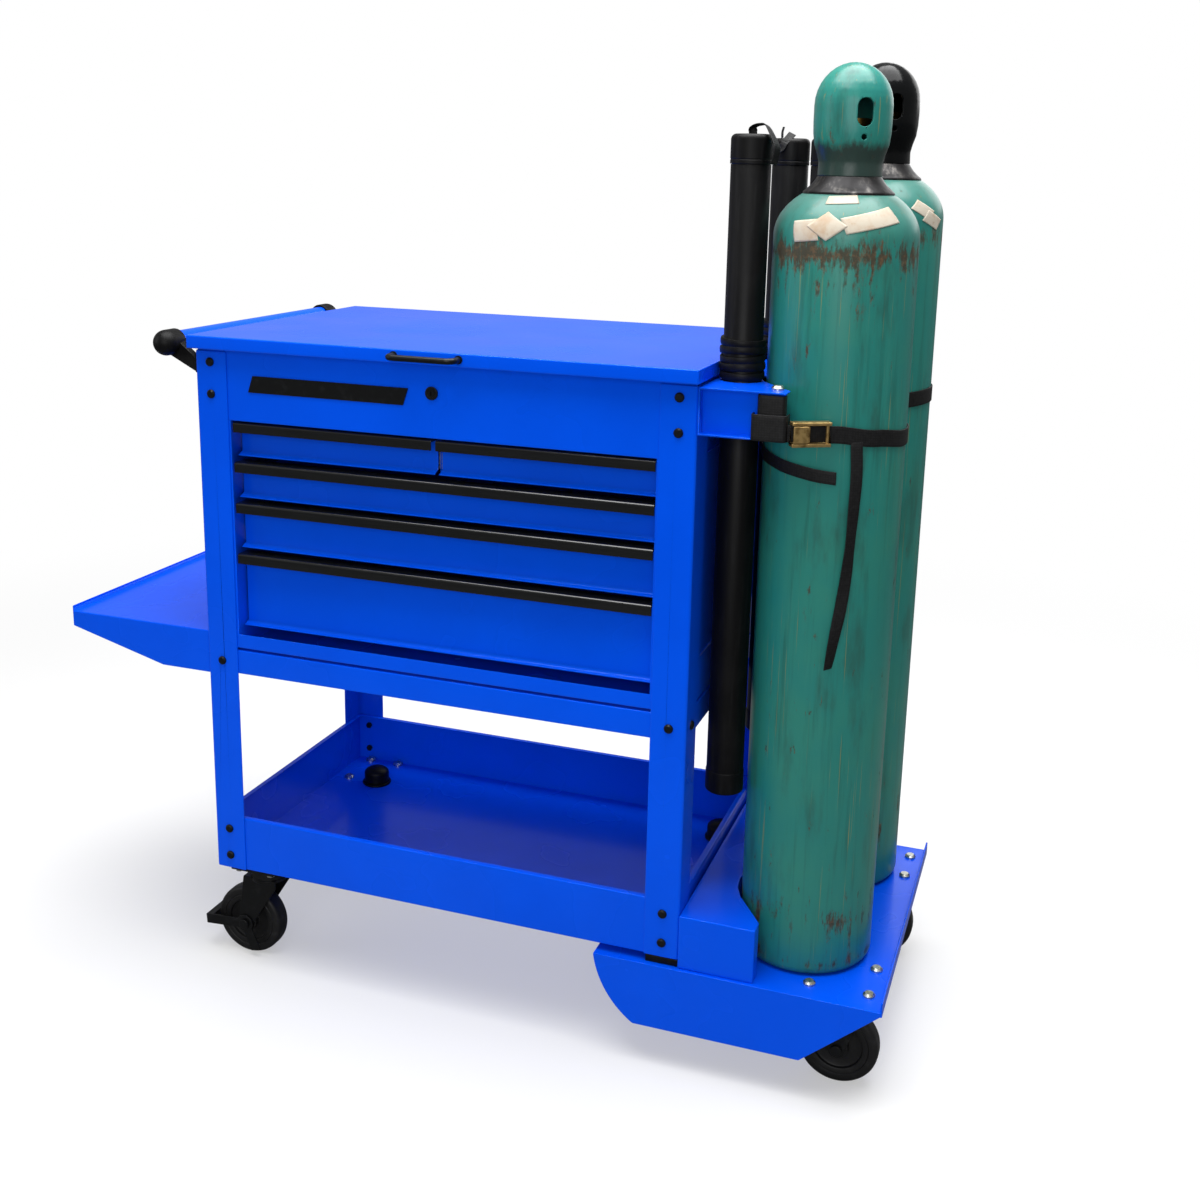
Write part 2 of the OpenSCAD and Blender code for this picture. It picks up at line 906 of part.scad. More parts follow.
module frame_bolts() {
    grip = post_t + sheet;
    color(black) {
        for (x = [bolt_inset, frame_w - bolt_inset])
            for (z = bolt_heights)
                both_y(frame_d / 2)
                    translate([x, 0, z])
                        rotate([-90, 0, 0])
                            bolt(bolt_r, bolt_head_r, bolt_head_h, grip, nut_r);
        both_y(frame_d / 2) {
            translate([-sheet, bolt_inset, rail_bolt_z])
                rotate([0, 90, 0])
                    bolt(bolt_r, bolt_head_r, bolt_head_h, grip + sheet, nut_r);
            translate([frame_w, bolt_inset, rail_bolt_z])
                rotate([0, -90, 0])
                    bolt(bolt_r, bolt_head_r, bolt_head_h, grip, nut_r);
        }
    }
}

// Side shelf: a top, a raised lip on its free edge, end plates that taper, and a flange on the posts
module side_shelf() {
    y0 = shelf_in;
    y1 = frame_d - shelf_in;
    color(blue)
        difference() {
            union() {
                block([-shelf_w, y0, shelf_z - sheet], [0, y1, shelf_z]);
                block([-shelf_w, y0, shelf_z - shelf_end], [sheet - shelf_w, y1, shelf_z + shelf_lip]);
                block([-sheet, y0, shelf_z - shelf_flange], [0, y1, shelf_z]);
                both_y(frame_d / 2)
                    slab_y(y0, y0 + sheet)
                        polygon([[0, shelf_z], [-shelf_w, shelf_z], [-shelf_w, shelf_z - shelf_end],
                            [-shelf_flat, shelf_z - shelf_flange], [0, shelf_z - shelf_flange]]);
            }
            side_holes(bolt_r + bolt_gap, cut);
        }
}

module push_handle() {
    color(blue)
        difference() {
            rod_y(push_d / 2, push_in, frame_d - push_in, -push_reach, push_z);
            rod_y(push_d / 2 - sheet, push_in + sheet, frame_d - push_in - sheet, -push_reach, push_z);
        }
}

// A handle end: a ball with a socket for the tube, and an arm down to a foot on the post
module push_handle_end() {
    r = push_end_r;
    difference() {
        union() {
            translate([-push_reach, 0, push_z])
                sphere(r);
            rod_y(r, 0, push_socket, -push_reach, push_z);
            slab_y(arm_y, arm_y + arm_t)
                polygon([[-push_reach, push_z], [-push_reach, push_z - r], [-foot_t, post_top - foot_low],
                    [-foot_t / 2, post_top - foot_low], [-foot_t / 2, post_top - foot_high - r / 2],
                    [r - push_reach, push_z]]);
            block([-foot_t, arm_y - foot_t, post_top - foot_low], [0, arm_y + foot_w,
                post_top - foot_high]);
        }
        rod_y(push_d / 2, push_in, push_socket + cut, -push_reach, push_z);
    }
}

module push_handle_ends() {
    color(black)
        both_y(frame_d / 2)
            push_handle_end();
}

// Front and rear flange of the cylinder tray, with a round left end and a right end that rises
module tray_flange() {
    x0 = tray_x0;
    arc_drop = flange_rise + plate_t;
    difference() {
        polygon([[x0, carrier_z], [x0, flange_z], [tray_x1 - flange_in, flange_z],
            [tray_x1 - plate_t, carrier_z - flange_tip], [tray_x1 - plate_t, carrier_z]]);
        difference() {
            translate([x0 - cut, flange_z - cut])
                square([flange_round + cut, flange_drop - plate_t + cut]);
            translate([x0 + sqrt(flange_round * flange_round - arc_drop * arc_drop), carrier_z + flange_rise])
                circle(flange_round, $fn = 96);
        }
    }
}

module cylinder_tray() {
    holes = concat(right_spots, pad_spots);
    color(blue)
        difference() {
            union() {
                block([tray_x0, tray_y0, carrier_z - plate_t], [tray_x1, tray_y1, carrier_z]);
                slab_y(tray_y0, tray_y0 + plate_t)
                    tray_flange();
                slab_y(tray_y1 - plate_t, tray_y1)
                    tray_flange();
                block([tray_x1 - plate_t, tray_y0, carrier_z - flange_tip],
                    [tray_x1, tray_y1, carrier_z + tray_lip]);
            }
            at_each(holes, carrier_z - plate_t - cut)
                cylinder(r = zinc_r + bolt_gap, h = plate_t + 2 * cut);
            at_each(flush_spots, carrier_z - flush_head_h)
                cylinder(r = flush_head_r + bolt_gap, h = flush_head_h + cut);
        }
}

// Points of a cylinder's bay, from the front round to the back
function bay(y, a0, a1) = [for (a = [a0:-bay_step:a1]) [cylinder_x + bay_r * cos(a), y + bay_r * sin(a)]];

// Plan of the cradle or the bracket: straight at the posts, with a bay for each cylinder
function carrier_plan(tip_x, mid_tip_x, mid_gap, a_mid) = concat(
    [[frame_w, -carrier_front], [tip_x, -carrier_front], [tip_x, front_y - horn_half]],
    bay(front_y, bay_start, a_mid),
    [[mid_tip_x, front_y + mid_gap], [mid_tip_x, rear_y - mid_gap]],
    bay(rear_y, full_turn - a_mid, bay_end),
    [[tip_x, rear_y + horn_half], [frame_w, rear_y + horn_half]]);

// The plan's edge as a wall of the given thickness
module plan_walls(points, t) {
    n = len(points);
    intersection() {
        polygon(points);
        for (i = [0:n - 1]) {
            p = points[i];
            q = points[(i + 1) % n];
            translate(p)
                rotate(atan2(q[1] - p[1], q[0] - p[0]))
                    translate([-t, -t])
                        square([norm(q - p) + 2 * t, 2 * t]);
        }
    }
}

module behind_frame_cut(z0, z1) {
    block([0, frame_d, z0 - cut], [tray_x1, rear_y + horn_half + cut, z1 + cut]);
}

module cradle() {
    plan = carrier_plan(horn_x, horn_x, horn_half, cradle_mid);
    top = carrier_z + cradle_h;
    color(blue) {
        difference() {
            union() {
                translate([0, 0, carrier_z])
                    linear_extrude(cradle_h)
                        plan_walls(plan, plate_t);
                translate([0, 0, top - plate_t])
                    linear_extrude(plate_t)
                        polygon(plan);
            }
            behind_frame_cut(carrier_z, top);
        }
        block([frame_w, frame_d - plate_t, carrier_z], [rear_anchor[0] - plate_t, frame_d, top]);
    }
}

module tube_bracket() {
    plan = carrier_plan(front_horn_x, mid_horn_x, mid_half, bracket_mid);
    color(blue)
        difference() {
            union() {
                difference() {
                    for (z = [bracket_z, bracket_top - plate_t])
                        translate([0, 0, z])
                            linear_extrude(plate_t)
                                polygon(plan);
                    behind_frame_cut(bracket_z, bracket_top);
                }
                block([frame_w, -carrier_front, bracket_z], [frame_w + plate_t, frame_d, bracket_top]);
                block([frame_w, web_in - plate_t, bracket_z], [front_horn_x - plate_t, web_in,
                    bracket_top]);
                block([frame_w, frame_d - web_in, bracket_z],
                    [rear_anchor[0] - web_in, frame_d - web_in + plate_t, bracket_top]);
            }
            at_each(tube_spots, bracket_z - cut)
                cylinder(r = tube_r + tube_hole_gap, h = bracket_h + 2 * cut);
            at_each(anchor_spots, bracket_top - plate_t - cut)
                cylinder(r = zinc_r + bolt_gap, h = plate_t + 2 * cut);
        }
}

module zinc_bolts() {
    color(zinc) {
        at_each(dome_spots, carrier_z)
            rotate([180, 0, 0])
                bolt(zinc_r, zinc_head_r, zinc_head_h, plate_t + caster_plate_t, zinc_nut_r);
        at_each(flush_spots, carrier_z)
            rotate([180, 0, 0]) {
                cylinder(r = flush_head_r, h = flush_head_h);
                shank(zinc_r, plate_t + caster_plate_t, zinc_nut_r);
            }
        at_each(left_spots, pan_top)
            rotate([180, 0, 0])
                bolt(zinc_r, zinc_head_r, zinc_head_h, sheet + caster_plate_t, zinc_nut_r);
        at_each(pad_spots, pan_top)
            rotate([180, 0, 0])
                bolt(zinc_r, zinc_head_r, zinc_head_h, sheet + pad_h + plate_t, zinc_nut_r);
        at_each(anchor_spots, bracket_top)
            rotate([180, 0, 0])
                bolt(zinc_r, zinc_head_r, zinc_head_h, plate_t, zinc_nut_r);
    }
}

// Where a strap that leaves point p touches the cylinder about c, as an angle and as a point
function touch_turn(c, p, side) = atan2(p[1] - c[1], p[0] - c[0]) + side * acos(strap_mid / norm(p - c));
function touch_point(c, p, side) = c + strap_mid * [cos(touch_turn(c, p, side)), sin(touch_turn(c, p,
    side))];

// The straight stretch of a strap, and its stretch round the cylinder
module strap_run(c, p, side) {
    q = touch_point(c, p, side);
    translate([p[0], p[1], strap_z - webbing_w / 2])
        rotate([0, 0, atan2(q[1] - p[1], q[0] - p[0])])
            translate([0, strap_skin - strap_t / 2, strap_skin])
                cube([norm(q - p) + strap_lap, strap_t - 2 * strap_skin, webbing_w - 2 * strap_skin]);
}

module strap_band(c, p, q) {
    a = touch_turn(c, p, 1);
    translate([c[0], c[1], strap_z - webbing_w / 2])
        rotate([0, 0, a])
            rotate_extrude(angle = touch_turn(c, q, -1) - a)
                translate([strap_in, 0])
                    square([strap_t, webbing_w]);
}

module strap(c, p, q) {
    strap_run(c, p, 1);
    strap_band(c, p, q);
    strap_run(c, q, -1);
}

// Both straps, with the loops that hold their ends round the bracket's horns
module cylinder_straps() {
    z0 = strap_z - webbing_w / 2;
    z1 = bracket_z + loop_up + webbing_w / 2;
    color(black) {
        strap(front_c, front_anchor, mid_anchor_front);
        strap(rear_c, mid_anchor_rear, rear_anchor);
        block([front_horn_x - loop_len, -carrier_front - strap_t, z0], [front_horn_x + strap_t,
            -carrier_front, z1]);
        block([front_horn_x, -carrier_front - strap_t, z0], [front_horn_x + strap_t, loop_back, z1]);
        block([mid_horn_x, mid_anchor_front[1], z0], [mid_horn_x + strap_t, mid_anchor_rear[1],
            z0 + webbing_w]);
        block([rear_anchor[0] - loop_len, frame_d, z0], [rear_anchor[0], frame_d + strap_t,
            z0 + webbing_w]);
    }
}

// Children in the frame of the front strap's run: x along the strap, y towards the cylinder
module on_front_run() {
    q = touch_point(front_c, front_anchor, 1);
    translate([front_anchor[0], front_anchor[1], strap_z])
        rotate([0, 0, atan2(q[1] - front_anchor[1], q[0] - front_anchor[0])])
            children();
}

// Buckle: two cheeks over and under the strap, a back plate, a front bar and the lever's pin
module buckle_frame() {
    z = webbing_w / 2 + seat_gap;
    back = strap_t / 2 + seat_gap + buckle_back;
    color(brass)
        on_front_run() {
            for (s = [z, -z - buckle_bar_h])
                block([buckle_at, -buckle_out, s], [buckle_at + buckle_len, back, s + buckle_bar_h]);
            block([buckle_at, back - buckle_back, -z - cut], [buckle_at + buckle_len, back, z + cut]);
            translate([buckle_at + buckle_len - buckle_bar_h, -buckle_out + buckle_bar_h, -z])
                cylinder(r = buckle_bar_h / 2, h = 2 * z);
            translate([buckle_at + lever_at, -lever_out, -z])
                cylinder(r = lever_pin_r, h = 2 * z);
        }
}

module buckle_lever() {
    h = webbing_w - 2 * seat_gap;
    color(brass)
        on_front_run()
            translate([buckle_at + lever_at, -lever_out, -h / 2])
                difference() {
                    union() {
                        cylinder(r = lever_r, h = h);
                        block([-lever_tab, -lever_r, 0], [0, lever_tab_t - lever_r, h]);
                    }
                    translate([0, 0, -cut])
                        cylinder(r = lever_pin_r + run_gap, h = h + 2 * cut);
                }
}

// The strap's free tail: a flat section at each point of its route
module strap_tail() {
    section = [for (s = [[1, -1], [1, 1], [-1, 1], [-1, -1]])
        for (k = s[0] * s[1] > 0 ? [0, 1] : [1, 0])
            [s[0] * (tail_w / 2 - k * tail_t / 4), s[1] * (tail_t / 4 + k * tail_t / 4)]];
    n = len(section);
    m = len(tail_route);
    points = [for (p = tail_route) for (s = section)
        [cylinder_x + p[0] + s[0] * cos(tail_turn) - s[1] * sin(tail_turn),
            front_y + p[1] + s[0] * sin(tail_turn) + s[1] * cos(tail_turn), strap_z - p[2]]];
    sides = [for (i = [0:m - 2]) for (j = [0:n - 1])
        let (a = i * n + j, b = i * n + (j + 1) % n)
            for (f = [[a, b, b + n], [a, b + n, a + n]]) f];
    ends = [for (j = [1:n - 2]) for (f = [[0, j + 1, j], [(m - 1) * n, (m - 1) * n + j,
        (m - 1) * n + j + 1]]) f];
    color(black)
        polyhedron(points, [for (f = concat(sides, ends)) [f[2], f[1], f[0]]]);
}

// A caster wheel about the y axis
module wheel(x, y) {
    half = wheel_w / 2;
    side = [[axle_r + run_gap, hub_w / 2], [hub_boss_r, hub_w / 2], [hub_boss_r, hub_disc / 2],
        [hub_r - hub_rim, hub_disc / 2], [hub_r - hub_rim, half], [wheel_r - tread_drop, half],
        [wheel_r, half - tread_side]];
    n = len(side);
    color(black)
        translate([x, y, wheel_r])
            rotate([90, 0, 0])
                rotate_extrude($fn = 96)
                    polygon(concat([for (p = side) p], [for (i = [n - 1:-1:0]) [side[i][0], -side[i][1]]]));
}

// A caster's axle with a head at each end, outside the given half width
module axle(out) {
    both_y(0) {
        rod_y(axle_r, -cut, out + axle_head_h, 0, wheel_r);
        rod_y(axle_head_r, out, out + axle_head_h, 0, wheel_r);
    }
}

// Two swivel casters' plates with their races and king pins, and two rigid casters
module swivel_plate() {
    z1 = post_z - caster_plate_t;
    difference() {
        block([-left_dx - plate_edge, -left_dy - plate_edge, z1], [left_dx + plate_edge,
            left_dy + plate_edge, post_z]);
        for (x = [-left_dx, left_dx])
            for (y = [-left_dy, left_dy])
                translate([x, y, z1 - cut])
                    cylinder(r = zinc_r + bolt_gap, h = caster_plate_t + 2 * cut);
    }
    translate([0, 0, crown_z + crown_t + seat_gap])
        cylinder(r1 = crown_r, r2 = race_r, h = z1 - crown_z - crown_t - seat_gap);
    translate([0, 0, crown_z - seat_gap - king_head_h]) {
        cylinder(r = king_r, h = z1 - crown_z + king_head_h);
        cylinder(r = king_head_r, h = king_head_h);
    }
}

module rigid_caster() {
    z1 = carrier_z - plate_t;
    difference() {
        block([-right_dx - plate_edge, -right_dy - plate_edge, z1 - caster_plate_t],
            [right_dx + plate_edge, right_dy + plate_edge, z1]);
        for (x = [-right_dx, right_dx])
            for (y = [-right_dy, right_dy])
                translate([x, y, z1 - caster_plate_t - cut])
                    cylinder(r = zinc_r + bolt_gap, h = caster_plate_t + 2 * cut);
    }
    both_y(0)
        slab_y(leg_in, leg_out) {
            polygon([[-leg_half, z1 - caster_plate_t], [-leg_end_r, wheel_r], [leg_end_r, wheel_r],
                [leg_half, z1 - caster_plate_t]]);
            translate([0, wheel_r])
                circle(leg_end_r);
        }
    axle(leg_out);
}

module caster_plates() {
    color(black) {
        for (y = left_ys)
            translate([left_x, y, 0])
                swivel_plate();
        for (y = right_ys)
            translate([right_x, y, 0])
                rigid_caster();
    }
}

// Swivel fork: a crown that turns on the king pin, two legs and the axle
module swivel_fork(y) {
    top = crown_z + crown_t;
    color(black)
        translate([left_x, y, 0]) {
            difference() {
                union() {
                    block([-leg_back, -leg_out, crown_z], [leg_front, leg_out, top]);
                    translate([0, 0, crown_z])
                        cylinder(r = crown_r, h = crown_t);
                }
                translate([0, 0, crown_z - cut])
                    cylinder(r = king_r + run_gap, h = crown_t + 2 * cut);
            }
            both_y(0)
                slab_y(leg_in, leg_out) {
                    polygon([[-leg_back, top], [-caster_trail - leg_end_r, wheel_r],
                        [leg_end_r - caster_trail, wheel_r], [leg_front, crown_z - leg_drop],
                            [leg_front, top]]);
                    translate([-caster_trail, wheel_r])
                        circle(leg_end_r);
                }
            translate([-caster_trail, 0, 0])
                axle(brake_out + brake_gap);
        }
}

// Brake: a plate on each side of the fork, with a toe below and a pedal across behind the wheel
module brake(y) {
    pad = wheel_r + brake_reach;
    color(black)
        translate([left_x - caster_trail, y, wheel_r]) {
            both_y(0)
                slab_y(brake_in, brake_out)
                    difference() {
                        union() {
                            circle(brake_r);
                            rotate(brake_turn)
                                translate([0, -brake_w / 2])
                                    square([pad + brake_pad, brake_w]);
                            rotate(toe_turn)
                                translate([0, -brake_w / 2])
                                    square([brake_toe, brake_w]);
                        }
                        circle(axle_r + run_gap);
                    }
            slab_y(-brake_out, brake_out)
                rotate(brake_turn)
                    translate([pad, -brake_w / 2])
                        square([brake_pad, brake_w]);
        }
}

// A gas cylinder with its neck ring, hollow inside
module gas_cylinder(i) {
    seat = cylinder_tops[i] - cap_len;
    shoulder = seat - shoulder_drop;
    foot = carrier_z + seat_gap;
    r_in = cylinder_r - cylinder_t;
    h_in = shoulder_h - cylinder_t;
    flare = ring_r - cap_foot_share * cap_r;
    color(teal)
        translate([cylinder_x, cylinder_ys[i], 0])
            rotate_extrude($fn = 96)
                difference() {
                    polygon(concat([[0, foot]],
                        [for (a = [0:15:90]) [cylinder_r - foot_round * (1 - sin(a)),
                            foot + foot_round * (1 - cos(a))]],
                        [for (a = [0:6:48]) [cylinder_r * cos(a), shoulder + shoulder_h * sin(a)]],
                        [[ring_r, seat - ring_drop]],
                        [for (s = ring_flare_shares) [ring_r - s[0] * flare,
                            seat - ring_drop + ring_h + s[1] * ring_flare_h]],
                        [[neck_r, seat - seat_gap], [neck_r, seat + neck_len], [0, seat + neck_len]]));
                    polygon(concat([[0, foot + cylinder_t], [r_in - foot_round / 2, foot + cylinder_t],
                        [r_in, foot + cylinder_t + foot_round / 2]],
                        [for (a = [0:6:60]) [r_in * cos(a), shoulder + h_in * sin(a)]], [[0,
                            shoulder + h_in * sin(60)]]));
                }
}

module gas_valve(i) {
    z = cylinder_tops[i] - cap_len + neck_len;
    color(brass)
        translate([cylinder_x, cylinder_ys[i], z]) {
            cylinder(r = valve_stem_r, h = valve_h);
            rod_x(valve_port_r, 0, valve_port_len, 0, valve_port_up);
            translate([0, 0, valve_h - valve_wheel_h])
                cylinder(r = valve_wheel_r, h = valve_wheel_h);
        }
}

// One slot through the cap's wall, with round ends
module cap_slot() {
    r = cap_slot_w / 2;
    bar_x(cap_r / 2, cap_r + cut) {
        translate([-r, cap_slot_up + r])
            square([cap_slot_w, cap_slot_h - cap_slot_w]);
        for (z = [cap_slot_up + r, cap_slot_up + cap_slot_h - r])
            translate([0, z])
                circle(r);
    }
}

// Cap over a valve: a round foot, a waist and a domed top, open below
module gas_cap(i) {
    dome_z = cap_dome_share * cap_len;
    dome_h = cap_len - dome_z;
    color(cap_colours[i])
        translate([cylinder_x, cylinder_ys[i], cylinder_tops[i] - cap_len])
            difference() {
                rotate_extrude($fn = 96)
                    polygon(concat(
                        [for (s = cap_shares) [s[0] * cap_r, s[1] * cap_len]],
                        [for (a = [10:10:80]) [cap_r * cos(a), dome_z + dome_h * sin(a)]],
                        [[0, cap_len], [0, cap_len - cap_wall]],
                        [for (a = [80:-10:0]) [(cap_r - cap_wall) * cos(a),
                            dome_z + (dome_h - cap_wall) * sin(a)]],
                        [for (k = [len(cap_shares) - 2:-1:0])
                            [cap_shares[k][0] * cap_r - cap_wall, cap_shares[k][1] * cap_len]]));
                for (turn = [cap_slot_turn, cap_slot_turn + 180])
                    rotate([0, 0, turn])
                        cap_slot();
                rotate([0, 0, cap_slot_turn])
                    rod_x(cap_hole_r, cap_r / 2, cap_r + cut, 0, cap_hole_up);
            }
}

// A rod tube: a foot cap, the tube, a ribbed collar that rests on the bracket, and a spigot for its cap
module rod_tube(i) {
    top = tube_z + rod_tube_h;
    seam = top - tube_cap_h;
    foot_r = tube_r + tube_cap_over;
    collar_z = bracket_top + seat_gap;
    pitch = collar_h / collar_rings;
    collar_r = tube_r + collar_over;
    color(black)
        translate([tube_spots[i][0], tube_spots[i][1], 0])
            rotate_extrude()
                difference() {
                    union() {
                        polygon([[0, tube_z], [foot_r - tube_cap_round / 2, tube_z], [foot_r,
                            tube_z + tube_cap_round / 2],
                            [foot_r, tube_z + tube_foot_h], [tube_r, tube_z + tube_foot_h], [tube_r, seam],
                            [tube_r - tube_step, seam], [tube_r - tube_step, top - tube_cap_roof - cut],
                            [0, top - tube_cap_roof - cut]]);
                        polygon(concat([[tube_r - cut, collar_z]],
                            [for (k = [0:collar_rings - 1]) for (s = [0, 1])
                                [collar_r - (1 - s) * ring_groove, collar_z + (k + s * 0.8) * pitch]],
                            [[collar_r - ring_groove, collar_z + collar_h], [tube_r - cut,
                                collar_z + collar_h]]));
                    }
                    translate([0, tube_z + tube_cap_roof])
                        square([tube_r - tube_t, rod_tube_h]);
                }
}

module rod_tube_cap(i) {
    top = tube_z + rod_tube_h;
    r = tube_r + tube_cap_over;
    color(black)
        translate([tube_spots[i][0], tube_spots[i][1], 0])
            rotate_extrude()
                difference() {
                    polygon(concat([[0, top - tube_cap_h + seat_gap], [r, top - tube_cap_h + seat_gap]],
                        [for (a = [0:15:90]) [r - tube_cap_round * (1 - cos(a)),
                            top - tube_cap_round * (1 - sin(a))]],
                        [[0, top]]));
                    translate([0, top - tube_cap_h - cut])
                        square([tube_r - tube_step + seat_gap, tube_cap_h + cut - tube_cap_roof]);
                }
}

place() corner_posts();
place() cross_members();
place() lower_tray();
place() bolt_covers();
place() cabinet();
place() fixed_slides();
place() lock_housing();
place() lock_plug();
place() cabinet_hinge_leaf();
place() lid_hinge_leaf();
place() lid();
place() lid_handle();
place() frame_bolts();
place() side_shelf();
place() push_handle();
place() push_handle_ends();
place() cylinder_tray();
place() cradle();
place() tube_bracket();
place() zinc_bolts();
place() cylinder_straps();
place() strap_tail();
place() buckle_frame();
place() buckle_lever();
place() drawer_box(0);  // top_left_box
place() drawer_trim(0);  // top_left_trim
place() drawer_slides(0);  // top_left_slides
place() drawer_box(1);  // top_right_box
place() drawer_trim(1);  // top_right_trim
place() drawer_slides(1);  // top_right_slides
place() drawer_box(2);  // second_box
place() drawer_trim(2);  // second_trim
place() drawer_slides(2);  // second_slides
place() drawer_box(3);  // third_box
place() drawer_trim(3);  // third_trim
place() drawer_slides(3);  // third_slides
place() drawer_box(4);  // deep_box
place() drawer_trim(4);  // deep_trim
place() drawer_slides(4);  // deep_slides
place() caster_plates();
place() swivel_fork(left_ys[0]);  // front_fork
place() swivel_fork(left_ys[1]);  // rear_fork
place() brake(left_ys[0]);  // front_brake
place() brake(left_ys[1]);  // rear_brake
place() wheel(left_x - caster_trail, left_ys[0]);  // front_left_wheel
place() wheel(left_x - caster_trail, left_ys[1]);  // rear_left_wheel
place() wheel(right_x, right_ys[0]);  // front_right_wheel
place() wheel(right_x, right_ys[1]);  // rear_right_wheel
place() gas_cylinder(0);  // front_cylinder
place() gas_cylinder(1);  // rear_cylinder
place() gas_valve(0);  // front_valve
place() gas_valve(1);  // rear_valve
place() gas_cap(0);  // front_cap
place() gas_cap(1);  // rear_cap
place() rod_tube(0);  // rod_tube_1
place() rod_tube(1);  // rod_tube_2
place() rod_tube(2);  // rod_tube_3
place() rod_tube_cap(0);  // rod_tube_cap_1
place() rod_tube_cap(1);  // rod_tube_cap_2
place() rod_tube_cap(2);  // rod_tube_cap_3
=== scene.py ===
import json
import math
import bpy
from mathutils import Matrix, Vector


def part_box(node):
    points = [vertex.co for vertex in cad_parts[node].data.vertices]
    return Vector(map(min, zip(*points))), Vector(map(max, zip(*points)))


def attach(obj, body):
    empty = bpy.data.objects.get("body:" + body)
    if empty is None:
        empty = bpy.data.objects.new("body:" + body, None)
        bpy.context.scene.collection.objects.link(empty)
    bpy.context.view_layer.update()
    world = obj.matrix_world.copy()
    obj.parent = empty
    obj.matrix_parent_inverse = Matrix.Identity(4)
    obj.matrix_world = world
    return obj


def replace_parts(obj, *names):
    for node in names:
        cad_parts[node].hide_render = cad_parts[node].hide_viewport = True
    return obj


bl_info = {
    "name": "Welding cart",
    "version": (1, 0, 0),
    "blender": (4, 5, 0),
    "location": "3D View > Sidebar > Cart",
    "description": "Dresses the packed welding cart with its finishes, webbing, cylinders and small parts",
    "category": "Object",
}

import bmesh
import bpy
from bpy.props import FloatProperty, FloatVectorProperty, PointerProperty
from mathutils import Matrix, Vector
from mathutils.geometry import interpolate_bezier

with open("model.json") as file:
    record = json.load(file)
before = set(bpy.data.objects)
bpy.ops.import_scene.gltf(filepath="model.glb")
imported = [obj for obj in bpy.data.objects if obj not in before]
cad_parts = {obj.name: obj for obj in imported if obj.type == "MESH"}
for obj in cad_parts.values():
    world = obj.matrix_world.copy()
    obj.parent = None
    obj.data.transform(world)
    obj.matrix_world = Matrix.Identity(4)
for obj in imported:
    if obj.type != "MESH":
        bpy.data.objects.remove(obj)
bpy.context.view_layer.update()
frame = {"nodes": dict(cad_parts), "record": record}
NODES = frame["nodes"]
NODE_BODY = {node: body for body, nodes in frame["record"]["behaviour"]["bodies"].items() for node in nodes}
MM = 0.001
UP = Vector((0, 0, 1))

# The cart's own corner: the outer face of the left posts, the front face of the front posts, the floor
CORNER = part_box("corner_posts")[0].xy.to_3d()
DRAWERS = ("top_left", "top_right", "second", "third", "deep")
ENDS = ("front", "rear")
TUBES = ("1", "2", "3")


def cart(x, y, z):
    """A point given in millimetres from the cart's own corner, in the frame."""
    return CORNER + Vector((x, y, z)) * MM


def linear(text):
    """Linear colour of an sRGB hex value."""
    parts = [int(text[i : i + 2], 16) / 255 for i in (1, 3, 5)]
    return tuple(c / 12.92 if c <= 0.04045 else ((c + 0.055) / 1.055) ** 2.4 for c in parts)


def shade(colour):
    """A colour with full opacity, for a node's socket."""
    return (*colour, 1.0)


def colour_setting(label, words, text):
    """A colour in the panel, with its hex value as the default."""
    return FloatVectorProperty(name=label, description=words, default=linear(text), subtype="COLOR",
                               min=0, max=1)


def length_setting(label, words, value):
    """A length in the panel, in metres."""
    return FloatProperty(name=label, description=words, default=value, min=0, unit="LENGTH")


class CartColours(bpy.types.PropertyGroup):
    paint: colour_setting("Paint", "Blue of the sheet metal", "#0050E6")
    paint_deep: colour_setting("Paint, deep", "Blue where the powder lies thicker", "#004CDE")
    paint_sheen: colour_setting("Paint, sheen", "Blue cast of the light that the paint reflects", "#1482FF")
    black_metal: colour_setting("Black metal", "Black of the trims, bolts and casters", "#0B0C0D")
    black_plastic: colour_setting("Black plastic", "Black of the tubes and handle ends", "#070708")
    rubber: colour_setting("Tyres", "Black of the tyres", "#111112")
    webbing: colour_setting("Webbing", "Black of the straps", "#0B0B0C")
    enamel: colour_setting("Enamel", "Green of the gas cylinders", "#20756D")
    enamel_light: colour_setting("Enamel, rubbed", "Green where the enamel is rubbed thin", "#347F73")
    rust: colour_setting("Rust", "Brown of the rust on the cylinders", "#3C2C1B")
    plating: colour_setting("Yellow plating", "Yellow of the plated buckle", "#BFA168")
    zinc: colour_setting("Zinc", "Grey of the zinc plate", "#C6C9C4")
    paper: colour_setting("Paper", "Cream of the bare paper patches", "#BDB4A4")


class CartSizes(bpy.types.PropertyGroup):
    fold: length_setting("Fold radius", "Outer radius of a fold in the sheet metal", 0.0024)
    edge: length_setting("Edge radius", "Radius of an edge of a machined or cast piece", 0.0010)
    webbing_t: length_setting("Webbing thickness", "Thickness of the strap webbing", 0.0022)
    patch_t: length_setting("Paper thickness", "Thickness of a paper patch with its varnish", 0.0004)
    badge_t: length_setting("Badge thickness", "Height of the bare badge over the panel", 0.0018)


def with_values(thing, **values):
    """Sets several of a thing's values, and gives it back."""
    for name, value in values.items():
        setattr(thing, name, value)
    return thing


def in_scene(name, data):
    """A new object in the scene."""
    thing = bpy.data.objects.new(name, data)
    bpy.context.scene.collection.objects.link(thing)
    return thing


def add(tree, kind, inputs=None, output=0, **settings):
    """Adds a node with its settings, sets or links its inputs, and gives one of its outputs."""
    node = with_values(tree.nodes.new(kind), **settings)
    for name, value in (inputs or {}).items():
        if isinstance(value, bpy.types.NodeSocket):
            tree.links.new(value, node.inputs[name])
        else:
            node.inputs[name].default_value = value
    return node.outputs[output]


